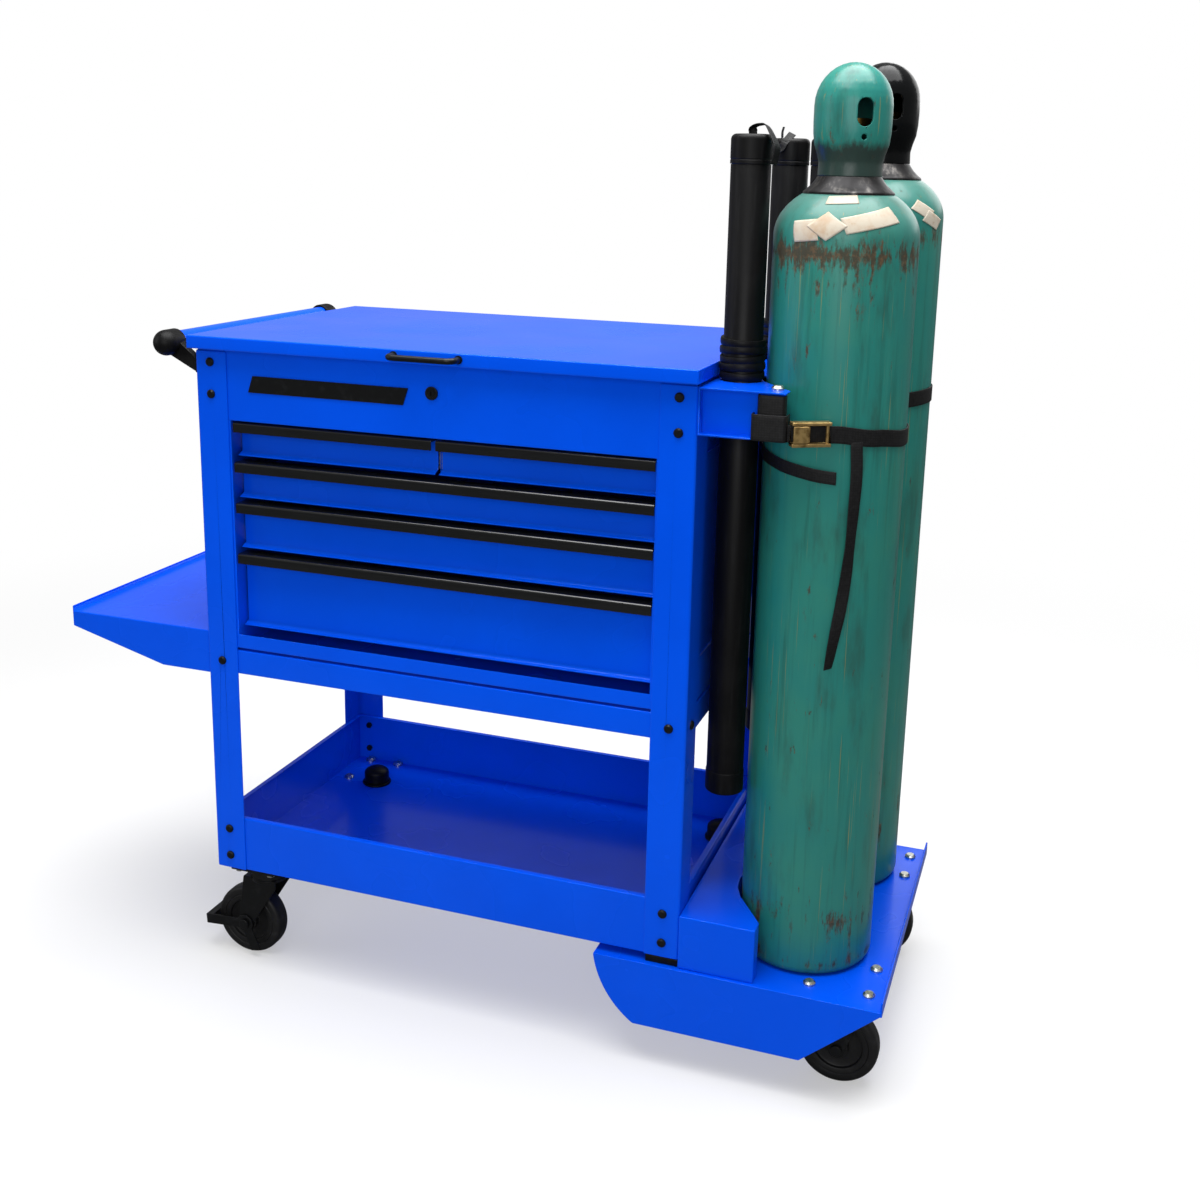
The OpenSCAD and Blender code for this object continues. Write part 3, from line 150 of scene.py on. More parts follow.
# Kinds of node, and the places of the inputs and of the output that a Mix node uses for colours
COORDS, MAPPING, NOISE = "ShaderNodeTexCoord", "ShaderNodeMapping", "ShaderNodeTexNoise"
SPREAD, MIX, BUMP, MATH = "ShaderNodeMapRange", "ShaderNodeMix", "ShaderNodeBump", "ShaderNodeMath"
FACTOR, FIRST, SECOND, MIXED = 0, 6, 7, 2
# How a Mix node mixes colours, how a Map Range node eases in and out, and what a pattern's place is read from
COLOURED = {"output": MIXED, "data_type": "RGBA"}
SMOOTH = {"interpolation_type": "SMOOTHSTEP"}
OBJECT = {"kind": COORDS, "output": "Object"}
LENGTHWISE = {"kind": "ShaderNodeUVMap", "uv_map": "UVMap"}


def new_finish(name, read=OBJECT, **values):
    """A new material with its node tree and the place its patterns follow. The plain values are set on its
    shader's own sockets."""
    material = bpy.data.materials.new(name)
    material.use_nodes = True
    tree = material.node_tree
    for key, value in values.items():
        tree.nodes["Principled BSDF"].inputs[key.replace("_", " ")].default_value = value
    return material, tree, add(tree, **read)


def join(material, **links):
    """Links outputs to the sockets of a material's shader, and gives the material back."""
    tree = material.node_tree
    for name, socket in links.items():
        tree.links.new(socket, tree.nodes["Principled BSDF"].inputs[name.replace("_", " ")])
    return material


# Levels that most of a noise pattern lies between
NOISE_LOW, NOISE_HIGH = 0.3, 0.7


def grained(tree, place, size, detail, low, high):
    """A pattern of the given size in metres, and a roughness from low to high that follows it."""
    grain = add(tree, NOISE, {"Vector": place, "Scale": 1 / size, "Detail": detail})
    dull = add(tree, SPREAD, {"Value": grain, "From Min": NOISE_LOW, "From Max": NOISE_HIGH,
                              "To Min": low, "To Max": high})
    return grain, dull


def grainy(material, tone, place, grain, depth=0.0, strength=0.3):
    """Gives a material its tone and a grain that dulls it, and that stands out of it if it has a depth."""
    tree = material.node_tree
    pattern, dull = grained(tree, place, *grain)
    if depth:
        join(material, Normal=add(tree, BUMP, {"Height": pattern, "Distance": depth, "Strength": strength}))
    return join(material, Base_Color=tone, Roughness=dull)


def layered(tree, tone, layers):
    """Lays patches of colour over a tone. A layer has its coordinates, the size of its patches in metres, the
    noise level where they start and where they are full, their greatest cover, and their colour."""
    for place, size, start, full, cover, colour in layers:
        patches = add(tree, NOISE, {"Vector": place, "Scale": 1 / size, "Detail": 5, "Roughness": 0.62})
        share = add(tree, SPREAD, {"Value": patches, "From Min": start, "From Max": full, "To Max": cover},
                    **SMOOTH)
        tone = add(tree, MIX, {FACTOR: share, FIRST: tone, SECOND: shade(colour)}, **COLOURED)
    return tone


def powder_coat(colours):
    # Gloss polyester powder, baked: it flows out to a faint orange peel and lies a little deeper in places
    sheen = shade(colours.paint_sheen)
    material, tree, here = new_finish("Gloss powder coat", IOR=1.5, Specular_Tint=sheen,
                                      Coat_Weight=0.14, Coat_Roughness=0.1)
    tone = layered(tree, shade(colours.paint), [(here, 0.35, 0.35, 0.65, 1.0, colours.paint_deep)])
    peel = add(tree, NOISE, {"Vector": here, "Scale": 1 / 0.005, "Detail": 1})
    skin = add(tree, BUMP, {"Height": peel, "Distance": 0.00003, "Strength": 0.25})
    handled, dull = grained(tree, here, 0.15, 2, 0.22, 0.3)
    return join(material, Base_Color=tone, Normal=skin, Roughness=dull)


def black_coat(colours):
    # Satin black powder over pressed steel, rubbed a little greyer in places
    material, tree, here = new_finish("Satin black coat", IOR=1.5, Specular_IOR_Level=0.25)
    tone = layered(tree, shade(colours.black_metal), [(here, 0.018, 0.52, 0.75, 0.6, linear("#1F2022"))])
    return grainy(material, tone, here, (0.003, 3, 0.3, 0.42), 0.00006)


def gloss_black(colours):
    # Thick gloss black enamel brushed over a cast cap: soft waves left by the brush
    material, tree, here = new_finish("Gloss black enamel", IOR=1.5, Roughness=0.16, Specular_IOR_Level=0.13)
    tone = layered(tree, shade(colours.black_metal), [(here, 0.02, 0.55, 0.8, 0.5, linear("#1C1B1A"))])
    waves = add(tree, NOISE, {"Vector": here, "Scale": 1 / 0.014, "Detail": 3})
    skin = add(tree, BUMP, {"Height": waves, "Distance": 0.0004, "Strength": 0.3})
    return join(material, Base_Color=tone, Normal=skin)


def gloss_trim(colours):
    # Extruded trim with a gloss black skin: faint lines of the die run along it
    material, tree, here = new_finish("Gloss black trim", IOR=1.5, Coat_Weight=0.3, Coat_Roughness=0.08)
    drawn = add(tree, MAPPING, {"Vector": here, "Scale": (0.02, 1, 1)})
    lines, dull = grained(tree, drawn, 0.0012, 3, 0.16, 0.26)
    tone = add(tree, MIX, {FACTOR: lines, FIRST: shade(linear("#080909")), SECOND: shade(linear("#141516"))},
               **COLOURED)
    skin = add(tree, BUMP, {"Height": lines, "Distance": 0.00003, "Strength": 0.3})
    return join(material, Base_Color=tone, Normal=skin, Roughness=dull)


def moulded_plastic(colours):
    # Moulded polyethylene: fine grain from the mould, with faint scuffs that run along it
    material, tree, here = new_finish("Moulded plastic", IOR=1.5, Specular_IOR_Level=0.15)
    along = add(tree, MAPPING, {"Vector": here, "Scale": (1, 1, 0.07)})
    tone = layered(tree, shade(colours.black_plastic), [(along, 0.007, 0.5, 0.8, 0.4, linear("#222223")),
                                                        (here, 0.07, 0.45, 0.7, 0.3, linear("#191818"))])
    grain = add(tree, NOISE, {"Vector": here, "Scale": 1 / 0.0022, "Detail": 2})
    skin = add(tree, BUMP, {"Height": grain, "Distance": 0.00008, "Strength": 0.3})
    rubbed, dull = grained(tree, along, 0.03, 4, 0.34, 0.52)
    return join(material, Base_Color=tone, Normal=skin, Roughness=dull)


def tyre_rubber(colours):
    # Solid rubber: matt, with dust worn into its tread
    material, tree, here = new_finish("Solid rubber", IOR=1.5, Specular_IOR_Level=0.35)
    tone = layered(tree, shade(colours.rubber), [(here, 0.02, 0.5, 0.75, 0.5, linear("#2C2B2D")),
                                                 (here, 0.006, 0.6, 0.75, 0.4, linear("#3A3938"))])
    return grainy(material, tone, here, (0.0016, 3, 0.4, 0.55), 0.0001, 0.4)


def zinc_plate(colours):
    # Bright zinc plate on rolled steel: grey with a faint yellow cast and a satin grain
    material, tree, here = new_finish("Zinc plate", Metallic=1.0)
    tone = layered(tree, shade(colours.zinc), [(here, 0.015, 0.4, 0.7, 1.0, linear("#B9B39C"))])
    return grainy(material, tone, here, (0.004, 4, 0.22, 0.4))


def yellow_plate(colours):
    # Cast buckle with yellow zinc plate: uneven gold with darker hollows
    material, tree, here = new_finish("Yellow zinc plate", Metallic=0.85)
    tone = layered(tree, shade(colours.plating), [(here, 0.012, 0.4, 0.7, 1.0, linear("#7C6238"))])
    return grainy(material, tone, here, (0.003, 4, 0.28, 0.48), 0.0001, 0.4)


def bar_brass(colours):
    # Machined brass: lathe marks round the valve, dulled by handling
    material, tree, here = new_finish("Machined brass", Metallic=1.0)
    round_it = add(tree, MAPPING, {"Vector": here, "Scale": (0.05, 0.05, 1)})
    tone = layered(tree, shade(linear("#B58F4A")), [(round_it, 0.001, 0.35, 0.7, 1.0, linear("#7E6030"))])
    return grainy(material, tone, round_it, (0.001, 3, 0.26, 0.42))


def woven_webbing(colours):
    # Polyester webbing: ribs across and threads along it, both drawn coarser than real so that they show
    material, tree, flat = new_finish("Woven webbing", LENGTHWISE, IOR=1.5, Specular_IOR_Level=0.25,
                                      Roughness=0.55)
    ribs = add(tree, "ShaderNodeTexWave", {"Vector": flat, "Scale": 1 / 0.0125, "Distortion": 0.6}, "Fac",
               wave_type="BANDS", bands_direction="Y")
    threads = add(tree, "ShaderNodeTexWave", {"Vector": flat, "Scale": 1 / 0.011, "Distortion": 0.4}, "Fac",
                  wave_type="BANDS", bands_direction="X")
    weave = add(tree, MATH, {0: ribs, 1: threads}, operation="MULTIPLY")
    lifted = add(tree, SPREAD, {"Value": weave, "To Max": 0.5})
    tone = layered(tree, shade(colours.webbing), [(flat, 0.006, 0.4, 0.75, 0.8, linear("#1B1B1C"))])
    tone = add(tree, MIX, {FACTOR: lifted, FIRST: tone, SECOND: shade(linear("#1E1E20"))}, **COLOURED)
    skin = add(tree, BUMP, {"Height": weave, "Distance": 0.0003, "Strength": 0.6})
    return join(material, Base_Color=tone, Normal=skin)


def worn_enamel(colours, name, height, rings, foot=0.0):
    """Old enamel on steel. height is the lowest and highest point of the enamel, rings are rings of rust as
    (height, half width, share), and foot is how far up it has gone dark."""
    # Brushed enamel many years old: streaks down the side, knocks through to rust, and a lighter grey-green
    # towards the top
    material, tree, here = new_finish(name, IOR=1.5, Specular_IOR_Level=0.35)
    down = add(tree, MAPPING, {"Vector": here, "Scale": (1, 1, 0.05)})
    drops = add(tree, MAPPING, {"Vector": here, "Scale": (1, 1, 0.25)})
    line = add(tree, MAPPING, {"Vector": here, "Scale": (1, 1, 0.012)})
    z = add(tree, "ShaderNodeSeparateXYZ", {"Vector": here}, "Z")
    tone = layered(tree, shade(colours.enamel), [
        (here, 0.16, 0.4, 0.7, 0.8, linear("#2A7A6B")),
        (down, 0.012, 0.5, 0.75, 0.55, linear("#1C5248")),
        (down, 0.02, 0.56, 0.8, 0.6, colours.enamel_light),
        (drops, 0.05, 0.52, 0.72, 0.55, linear("#28463E")),
        (line, 0.0035, 0.625, 0.7, 0.6, linear("#8A7B3A")),
    ])
    spots = add(tree, NOISE, {"Vector": drops, "Scale": 1 / 0.014, "Detail": 8, "Roughness": 0.72})
    bare = add(tree, SPREAD, {"Value": spots, "From Min": 0.635, "From Max": 0.67, "To Max": 0.85})
    ragged = add(tree, NOISE, {"Vector": drops, "Scale": 1 / 0.02, "Detail": 8, "Roughness": 0.75})
    for level, spread, share in rings:
        off = add(tree, MATH, {0: z, 1: level}, operation="SUBTRACT")
        off = add(tree, MATH, {0: off}, operation="ABSOLUTE")
        near = add(tree, SPREAD, {"Value": off, "From Min": spread, "From Max": 0, "To Max": share})
        reach = add(tree, MATH, {0: ragged, 1: near}, operation="ADD")
        eaten = add(tree, SPREAD, {"Value": reach, "From Min": 0.66, "From Max": 0.74, "To Max": 0.9})
        bare = add(tree, MATH, {0: bare, 1: eaten}, operation="MAXIMUM")
    rust = layered(tree, shade(colours.rust), [(here, 0.008, 0.45, 0.7, 0.8, linear("#6A4627"))])
    tone = add(tree, MIX, {FACTOR: bare, FIRST: tone, SECOND: rust}, **COLOURED)
    # Lighter grey-green towards the top of the enamel, set by height alone
    lighter_top = add(tree, SPREAD, {"Value": z, "From Min": height[1] - 0.1, "From Max": height[1] - 0.02,
                               "To Max": 0.45}, **SMOOTH)
    tone = add(tree, MIX, {FACTOR: lighter_top, FIRST: tone, SECOND: shade(linear("#5C7B70"))}, **COLOURED)
    if foot:
        edge = add(tree, MATH, {0: z, 1: add(tree, MATH, {0: ragged, 1: 0.05}, operation="MULTIPLY")},
                   operation="ADD")
        dark = add(tree, SPREAD, {"Value": edge, "From Min": height[0] + foot + 0.03,
                                  "From Max": height[0] + foot + 0.018, "To Max": 0.88})
        tone = add(tree, MIX, {FACTOR: dark, FIRST: tone, SECOND: shade(linear("#2B2E2B"))}, **COLOURED)
    knocks = add(tree, BUMP, {"Height": bare, "Distance": 0.0004, "Strength": 0.5}, invert=True)
    skin = add(tree, BUMP, {"Height": ragged, "Distance": 0.0005, "Strength": 0.3, "Normal": knocks})
    dull = add(tree, SPREAD, {"Value": bare, "To Min": 0.3, "To Max": 0.7})
    return join(material, Base_Color=tone, Roughness=dull, Normal=skin)


def dark_steel(colours):
    # Pressed neck ring: bare steel gone dark, with lighter streaks down its flare that are painted highlights
    material, tree, here = new_finish("Dark steel with painted highlights", Metallic=0.7)
    drops = add(tree, MAPPING, {"Vector": here, "Scale": (1, 1, 0.15)})
    # The lighter streaks laid over the dark steel are painted highlights
    tone = layered(tree, shade(linear("#1F1E1F")), [(drops, 0.012, 0.5, 0.75, 1.0, linear("#55524F"))])
    return grainy(material, tone, drops, (0.012, 5, 0.48, 0.3))


def old_paper(colours):
    # Varnished paper, bare: yellowed unevenly and stained brown in places
    material, tree, here = new_finish("Varnished paper", IOR=1.45, Roughness=0.45, Specular_IOR_Level=0.3)
    tone = layered(tree, shade(colours.paper), [(here, 0.03, 0.45, 0.75, 0.8, linear("#B09478")),
                                                (here, 0.008, 0.6, 0.75, 0.5, linear("#9A7A55"))])
    grain = add(tree, NOISE, {"Vector": here, "Scale": 1 / 0.004, "Detail": 3})
    skin = add(tree, BUMP, {"Height": grain, "Distance": 0.0001, "Strength": 0.3})
    return join(material, Base_Color=tone, Normal=skin)


def floor_paint():
    # Matt floor that turns to plain light with distance, so that it has no edge, and shows dimly in gloss
    material, tree, here = new_finish("Pale floor", Roughness=0.5, Base_Color=shade(linear("#E6E6E6")))
    away = add(tree, "ShaderNodeVectorMath", {0: here}, "Value", operation="LENGTH")
    # Even beside the cart 0.4 of the floor is glow: painted light that lifts the cart's shadow on the floor
    # and lights the cart from below
    share = add(tree, SPREAD, {"Value": away, "From Min": 1.0, "From Max": 3.2, "To Min": 0.4}, **SMOOTH)
    seen = add(tree, "ShaderNodeLightPath", output="Is Camera Ray")
    power = add(tree, SPREAD, {"Value": seen, "To Min": 0.4})
    glow = add(tree, "ShaderNodeEmission", {"Color": (1, 1, 1, 1), "Strength": power})
    lit = tree.nodes["Principled BSDF"].outputs[0]
    both = add(tree, "ShaderNodeMixShader", {0: share, 1: lit, 2: glow})
    mirrored = add(tree, "ShaderNodeLightPath", output="Is Glossy Ray")
    dimmed = add(tree, SPREAD, {"Value": mirrored, "To Max": 0.75})
    shadow = add(tree, "ShaderNodeEmission", {"Color": (0, 0, 0, 1), "Strength": 0.0})
    both = add(tree, "ShaderNodeMixShader", {0: dimmed, 1: both, 2: shadow})
    tree.links.new(both, tree.nodes["Material Output"].inputs["Surface"])
    return material


FINISHES = {}


def finish(name):
    """One of the cart's finishes, made when it is first asked for."""
    colours = bpy.context.scene.cart_colours
    makers = {
        "paint": powder_coat, "black": black_coat, "trim": gloss_trim, "plastic": moulded_plastic,
        "rubber": tyre_rubber, "zinc": zinc_plate, "plating": yellow_plate, "brass": bar_brass,
        "webbing": woven_webbing, "steel": dark_steel, "paper": old_paper, "gloss": gloss_black,
    }
    if name not in FINISHES:
        FINISHES[name] = makers[name](colours)
    return FINISHES[name]


def paint_node(node, material):
    """Gives a CAD node that stays a better material."""
    slots = NODES[node].data.materials
    slots.clear()
    slots.append(material)


def finished_object(name, bm, material, body, smooth=32.0):
    """A new piece from a bmesh, with sharp edges where its faces turn by more than smooth degrees."""
    mesh = bpy.data.meshes.new(name)
    bm.to_mesh(mesh)
    bm.free()
    mesh.materials.append(material)
    mesh.shade_smooth()
    mesh.set_sharp_from_angle(angle=math.radians(smooth))
    piece = in_scene(name, mesh)
    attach(piece, body)
    return piece


# An edge counts as sharp over this many degrees, and a neighbour as turning off it over the second one
SHARP, TURNING = math.radians(28), math.radians(30)
# Share of a neighbouring edge that a round may take
TAKEN = 0.42
# Share of its box that a face fills at most when it counts as a rim round an opening
RIM_SHARE = 0.2
# Points nearer than this are one point, and faces that turn by less than this many degrees are one face
MERGED, LEVEL = 0.00001, math.radians(0.6)
# Distance within which the seam and the poles of a spun piece are closed
SEAM = 0.000002


def sharp_edges(bm):
    """Outer edges of a mesh that turn sharply."""
    return [e for e in bm.edges if len(e.link_faces) == 2 and e.is_convex and e.calc_face_angle(0) > SHARP]


def room(edge):
    """How far an edge may be rounded before it meets the edges that turn off it."""
    along = (edge.verts[1].co - edge.verts[0].co).normalized()
    limits = []
    for vert in edge.verts:
        for other in vert.link_edges:
            if other is edge or not set(other.link_faces) & set(edge.link_faces):
                continue
            way = (other.other_vert(vert).co - vert.co).normalized()
            if abs(way.dot(along)) < math.cos(TURNING):
                limits.append(other.calc_length())
    return TAKEN * min(limits) if limits else 1.0


def is_rim(face):
    """True for a narrow face that winds round an opening, whose box is far larger than the face."""
    spans = sorted(max(v.co[i] for v in face.verts) - min(v.co[i] for v in face.verts) for i in range(3))
    return face.calc_area() < RIM_SHARE * spans[1] * spans[2]


def rounded_copy(node, material, radius, segments=2, name=None):
    """A copy of a CAD node with its faces merged and its edges rounded, which stands for it."""
    bm = bmesh.new()
    bm.from_mesh(NODES[node].data)
    bmesh.ops.remove_doubles(bm, verts=bm.verts, dist=MERGED)
    bmesh.ops.dissolve_limit(bm, angle_limit=LEVEL, verts=bm.verts, edges=bm.edges)
    bmesh.ops.dissolve_degenerate(bm, edges=bm.edges, dist=MERGED)
    weight = bm.edges.layers.float.get("bevel_weight_edge") or bm.edges.layers.float.new("bevel_weight_edge")
    outer = set(sharp_edges(bm))
    for edge in outer:
        edge[weight] = min(1.0, room(edge) / radius)
    rims = [face for face in bm.faces if is_rim(face)]
    for edge in bmesh.ops.connect_verts_concave(bm, faces=rims)["edges"]:
        edge[weight] = 0.0
    bm.edges.index_update()
    inner = {e.index for e in bm.edges
             if e not in outer and (len(e.link_faces) != 2 or e.calc_face_angle(0) > SHARP)}
    piece = finished_object(name or node + "_metal", bm, material, NODE_BODY[node])
    if "custom_normal" in piece.data.attributes:
        piece.data.attributes.remove(piece.data.attributes["custom_normal"])
    for edge in piece.data.edges:
        edge.use_edge_sharp = edge.index in inner
    with_values(piece.modifiers.new("Rounds", "BEVEL"), width=radius, segments=segments,
                limit_method="WEIGHT", use_clamp_overlap=False, profile=0.5)
    with_values(piece.modifiers.new("Flats", "WEIGHTED_NORMAL"), mode="FACE_AREA", keep_sharp=True)
    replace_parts(piece, node)
    return piece


def turned(bm, profile, steps, closed=False):
    """Spins a profile of (radius, height) in millimetres round the z axis."""
    verts = [bm.verts.new((r * MM, 0, h * MM)) for r, h in profile]
    pairs = list(zip(verts, verts[1:])) + ([(verts[-1], verts[0])] if closed else [])
    edges = [bm.edges.new(pair) for pair in pairs]
    made = bmesh.ops.spin(bm, geom=verts + edges, cent=(0, 0, 0), axis=(0, 0, 1), angle=math.tau, steps=steps,
                          use_merge=True)
    bmesh.ops.remove_doubles(bm, verts=bm.verts, dist=SEAM)
    bmesh.ops.recalc_face_normals(bm, faces=bm.faces)
    return made


def turned_piece(name, profile, steps, foot, material, node, smooth):
    """A new piece turned from a profile over a foot, on the body of a CAD node."""
    bm = bmesh.new()
    turned(bm, profile, steps)
    bmesh.ops.translate(bm, verts=bm.verts, vec=foot)
    return finished_object(name, bm, material, NODE_BODY[node], smooth)


def arc(centre, radius, start, end, steps):
    """Points round an arc, as (radius, height); angles in degrees."""
    turns = [math.radians(start + (end - start) * i / steps) for i in range(steps + 1)]
    return [(centre[0] + radius[0] * math.cos(a), centre[1] + radius[1] * math.sin(a)) for a in turns]


def axis_of(node):
    """The middle of a node's box, and its lowest and highest heights."""
    low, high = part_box(node)
    return (low + high) / 2, low.z, high.z


def smooth_path(points, steps):
    """A smooth line through the points."""
    line = [points[0]]
    ends = [points[0] * 2 - points[1], *points, points[-1] * 2 - points[-2]]
    for before, first, second, after in zip(ends, ends[1:], ends[2:], ends[3:]):
        line += interpolate_bezier(first, first + (second - before) / 6, second - (after - first) / 6, second,
                                   steps + 1)[1:]
    return line


def ribbon(name, stations, width, thickness, body="frame", columns=4):
    """Webbing along stations of (centre, direction across it), with the weave's UV map in metres."""
    bm = bmesh.new()
    uv = bm.loops.layers.uv.new("UVMap")
    shares = [i / columns - 0.5 for i in range(columns + 1)]
    centre, across = stations[0]
    row = [bm.verts.new(centre + across * width * s) for s in shares]
    edges = [bm.edges.new(pair) for pair in zip(row, row[1:])]
    spots = {v: (s * width, 0.0) for v, s in zip(row, shares)}
    travel = 0.0
    for past, (centre, across) in zip(stations, stations[1:]):
        travel += (centre - past[0]).length
        made = bmesh.ops.extrude_edge_only(bm, edges=edges)["geom"]
        edges = [e for e in made if isinstance(e, bmesh.types.BMEdge)]
        fresh = [v for v in made if isinstance(v, bmesh.types.BMVert)]
        for vert, share in zip(fresh, shares):
            vert.co = centre + across * width * share
            spots[vert] = (share * width, travel)
    for face in bm.faces:
        for loop in face.loops:
            loop[uv].uv = spots[loop.vert]
    bmesh.ops.recalc_face_normals(bm, faces=bm.faces)
    piece = finished_object(name, bm, finish("webbing"), body, 60)
    with_values(piece.modifiers.new("Thickness", "SOLIDIFY"), thickness=thickness, offset=0)
    with_values(piece.modifiers.new("Rounds", "BEVEL"), width=thickness * 0.35, segments=2,
                limit_method="ANGLE", angle_limit=math.radians(50), use_clamp_overlap=True)
    return piece


class CartOperator:
    """What the cart's operators share: they act on the scene and can be undone."""

    bl_options = {"REGISTER", "UNDO"}

    def execute(self, context):
        self.build(context.scene.cart_colours, context.scene.cart_sizes)
        return {"FINISHED"}


# The photograph's camera: its turns in degrees, its place in metres, its lens and its shifts
AZIMUTH, ELEVATION, ROLL = -19.15, -13.17, 1.22
CAMERA_PLACE = (0.9263, -2.1752, 1.4005)
SENSOR, LENS, SHIFT_X, SHIFT_Y = 36, 42.357, -0.0013, -0.0872


class CART_OT_camera(CartOperator, bpy.types.Operator):
    """Places the camera where the photograph was taken from"""

    bl_idname = "cart.camera"
    bl_label = "Camera"

    def build(self, colours, sizes):
        azimuth, elevation, roll = (math.radians(a) for a in (AZIMUTH, ELEVATION, ROLL))
        ahead = Vector((math.sin(azimuth) * math.cos(elevation), math.cos(azimuth) * math.cos(elevation),
                        math.sin(elevation)))
        right = ahead.cross(UP).normalized()
        above = right.cross(ahead)
        side = right * math.cos(roll) + above * math.sin(roll)
        top = above * math.cos(roll) - right * math.sin(roll)
        turn = Matrix((side, top, -ahead)).transposed().to_4x4()
        data = with_values(bpy.data.cameras.new("Camera"), sensor_width=SENSOR, lens=LENS, shift_x=SHIFT_X,
                           shift_y=SHIFT_Y)
        camera = in_scene("Camera", data)
        camera.matrix_world = Matrix.Translation(CAMERA_PLACE) @ turn
        bpy.context.scene.camera = camera


# Route of the strap's free tail: x, y, height, and how far its width is turned from the cart's front
TAIL_ROUTE = ((1062, 55, 1025, 28), (1065, 53, 975, 30), (1064, 52, 925, 40), (1062, 52, 875, 52),
              (1059, 51, 825, 34), (1054, 49, 775, 20), (1047, 46, 725, 42), (1042, 45, 684, 58))
TAIL_W, TAIL_T = 0.018, 0.0018


class CART_OT_strap_tail(CartOperator, bpy.types.Operator):
    """Hangs the free tail of the front strap down the front cylinder"""

    bl_idname = "cart.strap_tail"
    bl_label = "Strap tail"

    def build(self, colours, sizes):
        points = [cart(x, y, z) for x, y, z, turn in TAIL_ROUTE]
        turns = [Vector((turn, 0, 0)) for x, y, z, turn in TAIL_ROUTE]
        line = smooth_path(points, 5)
        stations = []
        for point, turn in zip(line, smooth_path(turns, 5)):
            angle = math.radians(turn.x)
            stations.append((point, Vector((math.cos(angle), math.sin(angle), 0))))
        tail = ribbon("strap_tail_webbing", stations, TAIL_W, TAIL_T)
        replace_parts(tail, "strap_tail")


# Nodes of folded sheet metal, and nodes of thicker pressed steel
SHEET_NODES = ("corner_posts", "cross_members", "lower_tray", "cabinet", "side_shelf", "cylinder_tray",
               "cradle", "tube_bracket", "lid", *(f"{drawer}_box" for drawer in DRAWERS))
PRESSED_NODES = ("caster_plates", "front_fork", "rear_fork", "front_brake", "rear_brake", "lock_housing")


class CART_OT_sheet_metal(CartOperator, bpy.types.Operator):
    """Powder coats the folded sheet metal and rounds its folds"""

    bl_idname = "cart.sheet_metal"
    bl_label = "Sheet metal"

    def build(self, colours, sizes):
        for node in SHEET_NODES:
            rounded_copy(node, finish("paint"), sizes.fold)
        paint_node("push_handle", finish("paint"))


class CART_OT_pressed_parts(CartOperator, bpy.types.Operator):
    """Coats the casters, brakes, trims, bolts and the lock's housing black, with rounded edges"""

    bl_idname = "cart.pressed_parts"
    bl_label = "Black parts"

    def build(self, colours, sizes):
        for node in PRESSED_NODES:
            rounded_copy(node, finish("black"), sizes.edge)
        for drawer in DRAWERS:
            rounded_copy(f"{drawer}_trim", finish("trim"), sizes.edge)
        for node in ("bolt_covers", "push_handle_ends"):
            rounded_copy(node, finish("plastic"), sizes.edge * 2)
        for node in ("frame_bolts", "lid_handle", "lock_plug"):
            paint_node(node, finish("black"))


class CART_OT_bright_parts(CartOperator, bpy.types.Operator):
    """Plates the slides, hinge and bolts with zinc, and makes the valves brass"""

    bl_idname = "cart.bright_parts"
    bl_label = "Bright parts"

    def build(self, colours, sizes):
        slides = [f"{drawer}_slides" for drawer in DRAWERS]
        for node in ("fixed_slides", "cabinet_hinge_leaf", "lid_hinge_leaf", "zinc_bolts", *slides):
            paint_node(node, finish("zinc"))
        for end in ENDS:
            paint_node(f"{end}_valve", finish("brass"))
        for node in ("buckle_frame", "buckle_lever"):
            rounded_copy(node, finish("plating"), sizes.edge * 1.5, 3)


# The bare badge in millimetres: its left and right end, its foot and its top, and its slant
BADGE_LEFT, BADGE_RIGHT, BADGE_LOW, BADGE_HIGH, BADGE_SLANT = 96, 372, 1034, 1061, 9
# Its rim and the depth of its face behind the rim
BADGE_RIM, BADGE_DEPTH = 0.0035, 0.0007


class CART_OT_badge(CartOperator, bpy.types.Operator):
    """Fixes a bare black badge to the panel over the drawers"""

    bl_idname = "cart.badge"
    bl_label = "Bare badge"

    def build(self, colours, sizes):
        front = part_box("cabinet")[0].y
        low, high = cart(BADGE_LEFT, 0, BADGE_LOW), cart(BADGE_RIGHT, 0, BADGE_HIGH)
        slant = BADGE_SLANT * MM
        bm = bmesh.new()
        corners = ((low.x, low.z), (high.x, low.z), (high.x + slant, high.z), (low.x + slant, high.z))
        face = bm.faces.new([bm.verts.new((x, front - sizes.badge_t, z)) for x, z in corners])
        bmesh.ops.inset_individual(bm, faces=[face], thickness=BADGE_RIM, depth=-BADGE_DEPTH)
        rim = [e for e in bm.edges if e.is_boundary]
        made = bmesh.ops.extrude_edge_only(bm, edges=rim)["geom"]
        bmesh.ops.translate(bm, verts=[v for v in made if isinstance(v, bmesh.types.BMVert)],
                            vec=(0, sizes.badge_t * 1.2, 0))
        bmesh.ops.contextual_create(bm, geom=[e for e in bm.edges if e.is_boundary])
        bmesh.ops.recalc_face_normals(bm, faces=bm.faces)
        badge = finished_object("bare_badge", bm, finish("black"), "frame")
        with_values(badge.modifiers.new("Rounds", "BEVEL"), width=0.0005, segments=2)


# Half of a wheel's side in millimetres, as (radius, distance from the middle), from the bore to the tread
WHEEL_SIDE = ((6.05, 22), (9.5, 22), (10, 21.4), (15.6, 21.4), (17, 20), (17.6, 11), (19, 9.6), (24, 9),
              (36.4, 9), (38.2, 10), (38.8, 11.6), (39.4, 14.2), (41, 15), (47.6, 15.4), (48.6, 14.6),
              (49.6, 15.6), (53, 16), (56.5, 15.9), (59.4, 15), (61.6, 13.2), (62.9, 10.6), (63.4, 7.5),
              (63.5, 4))


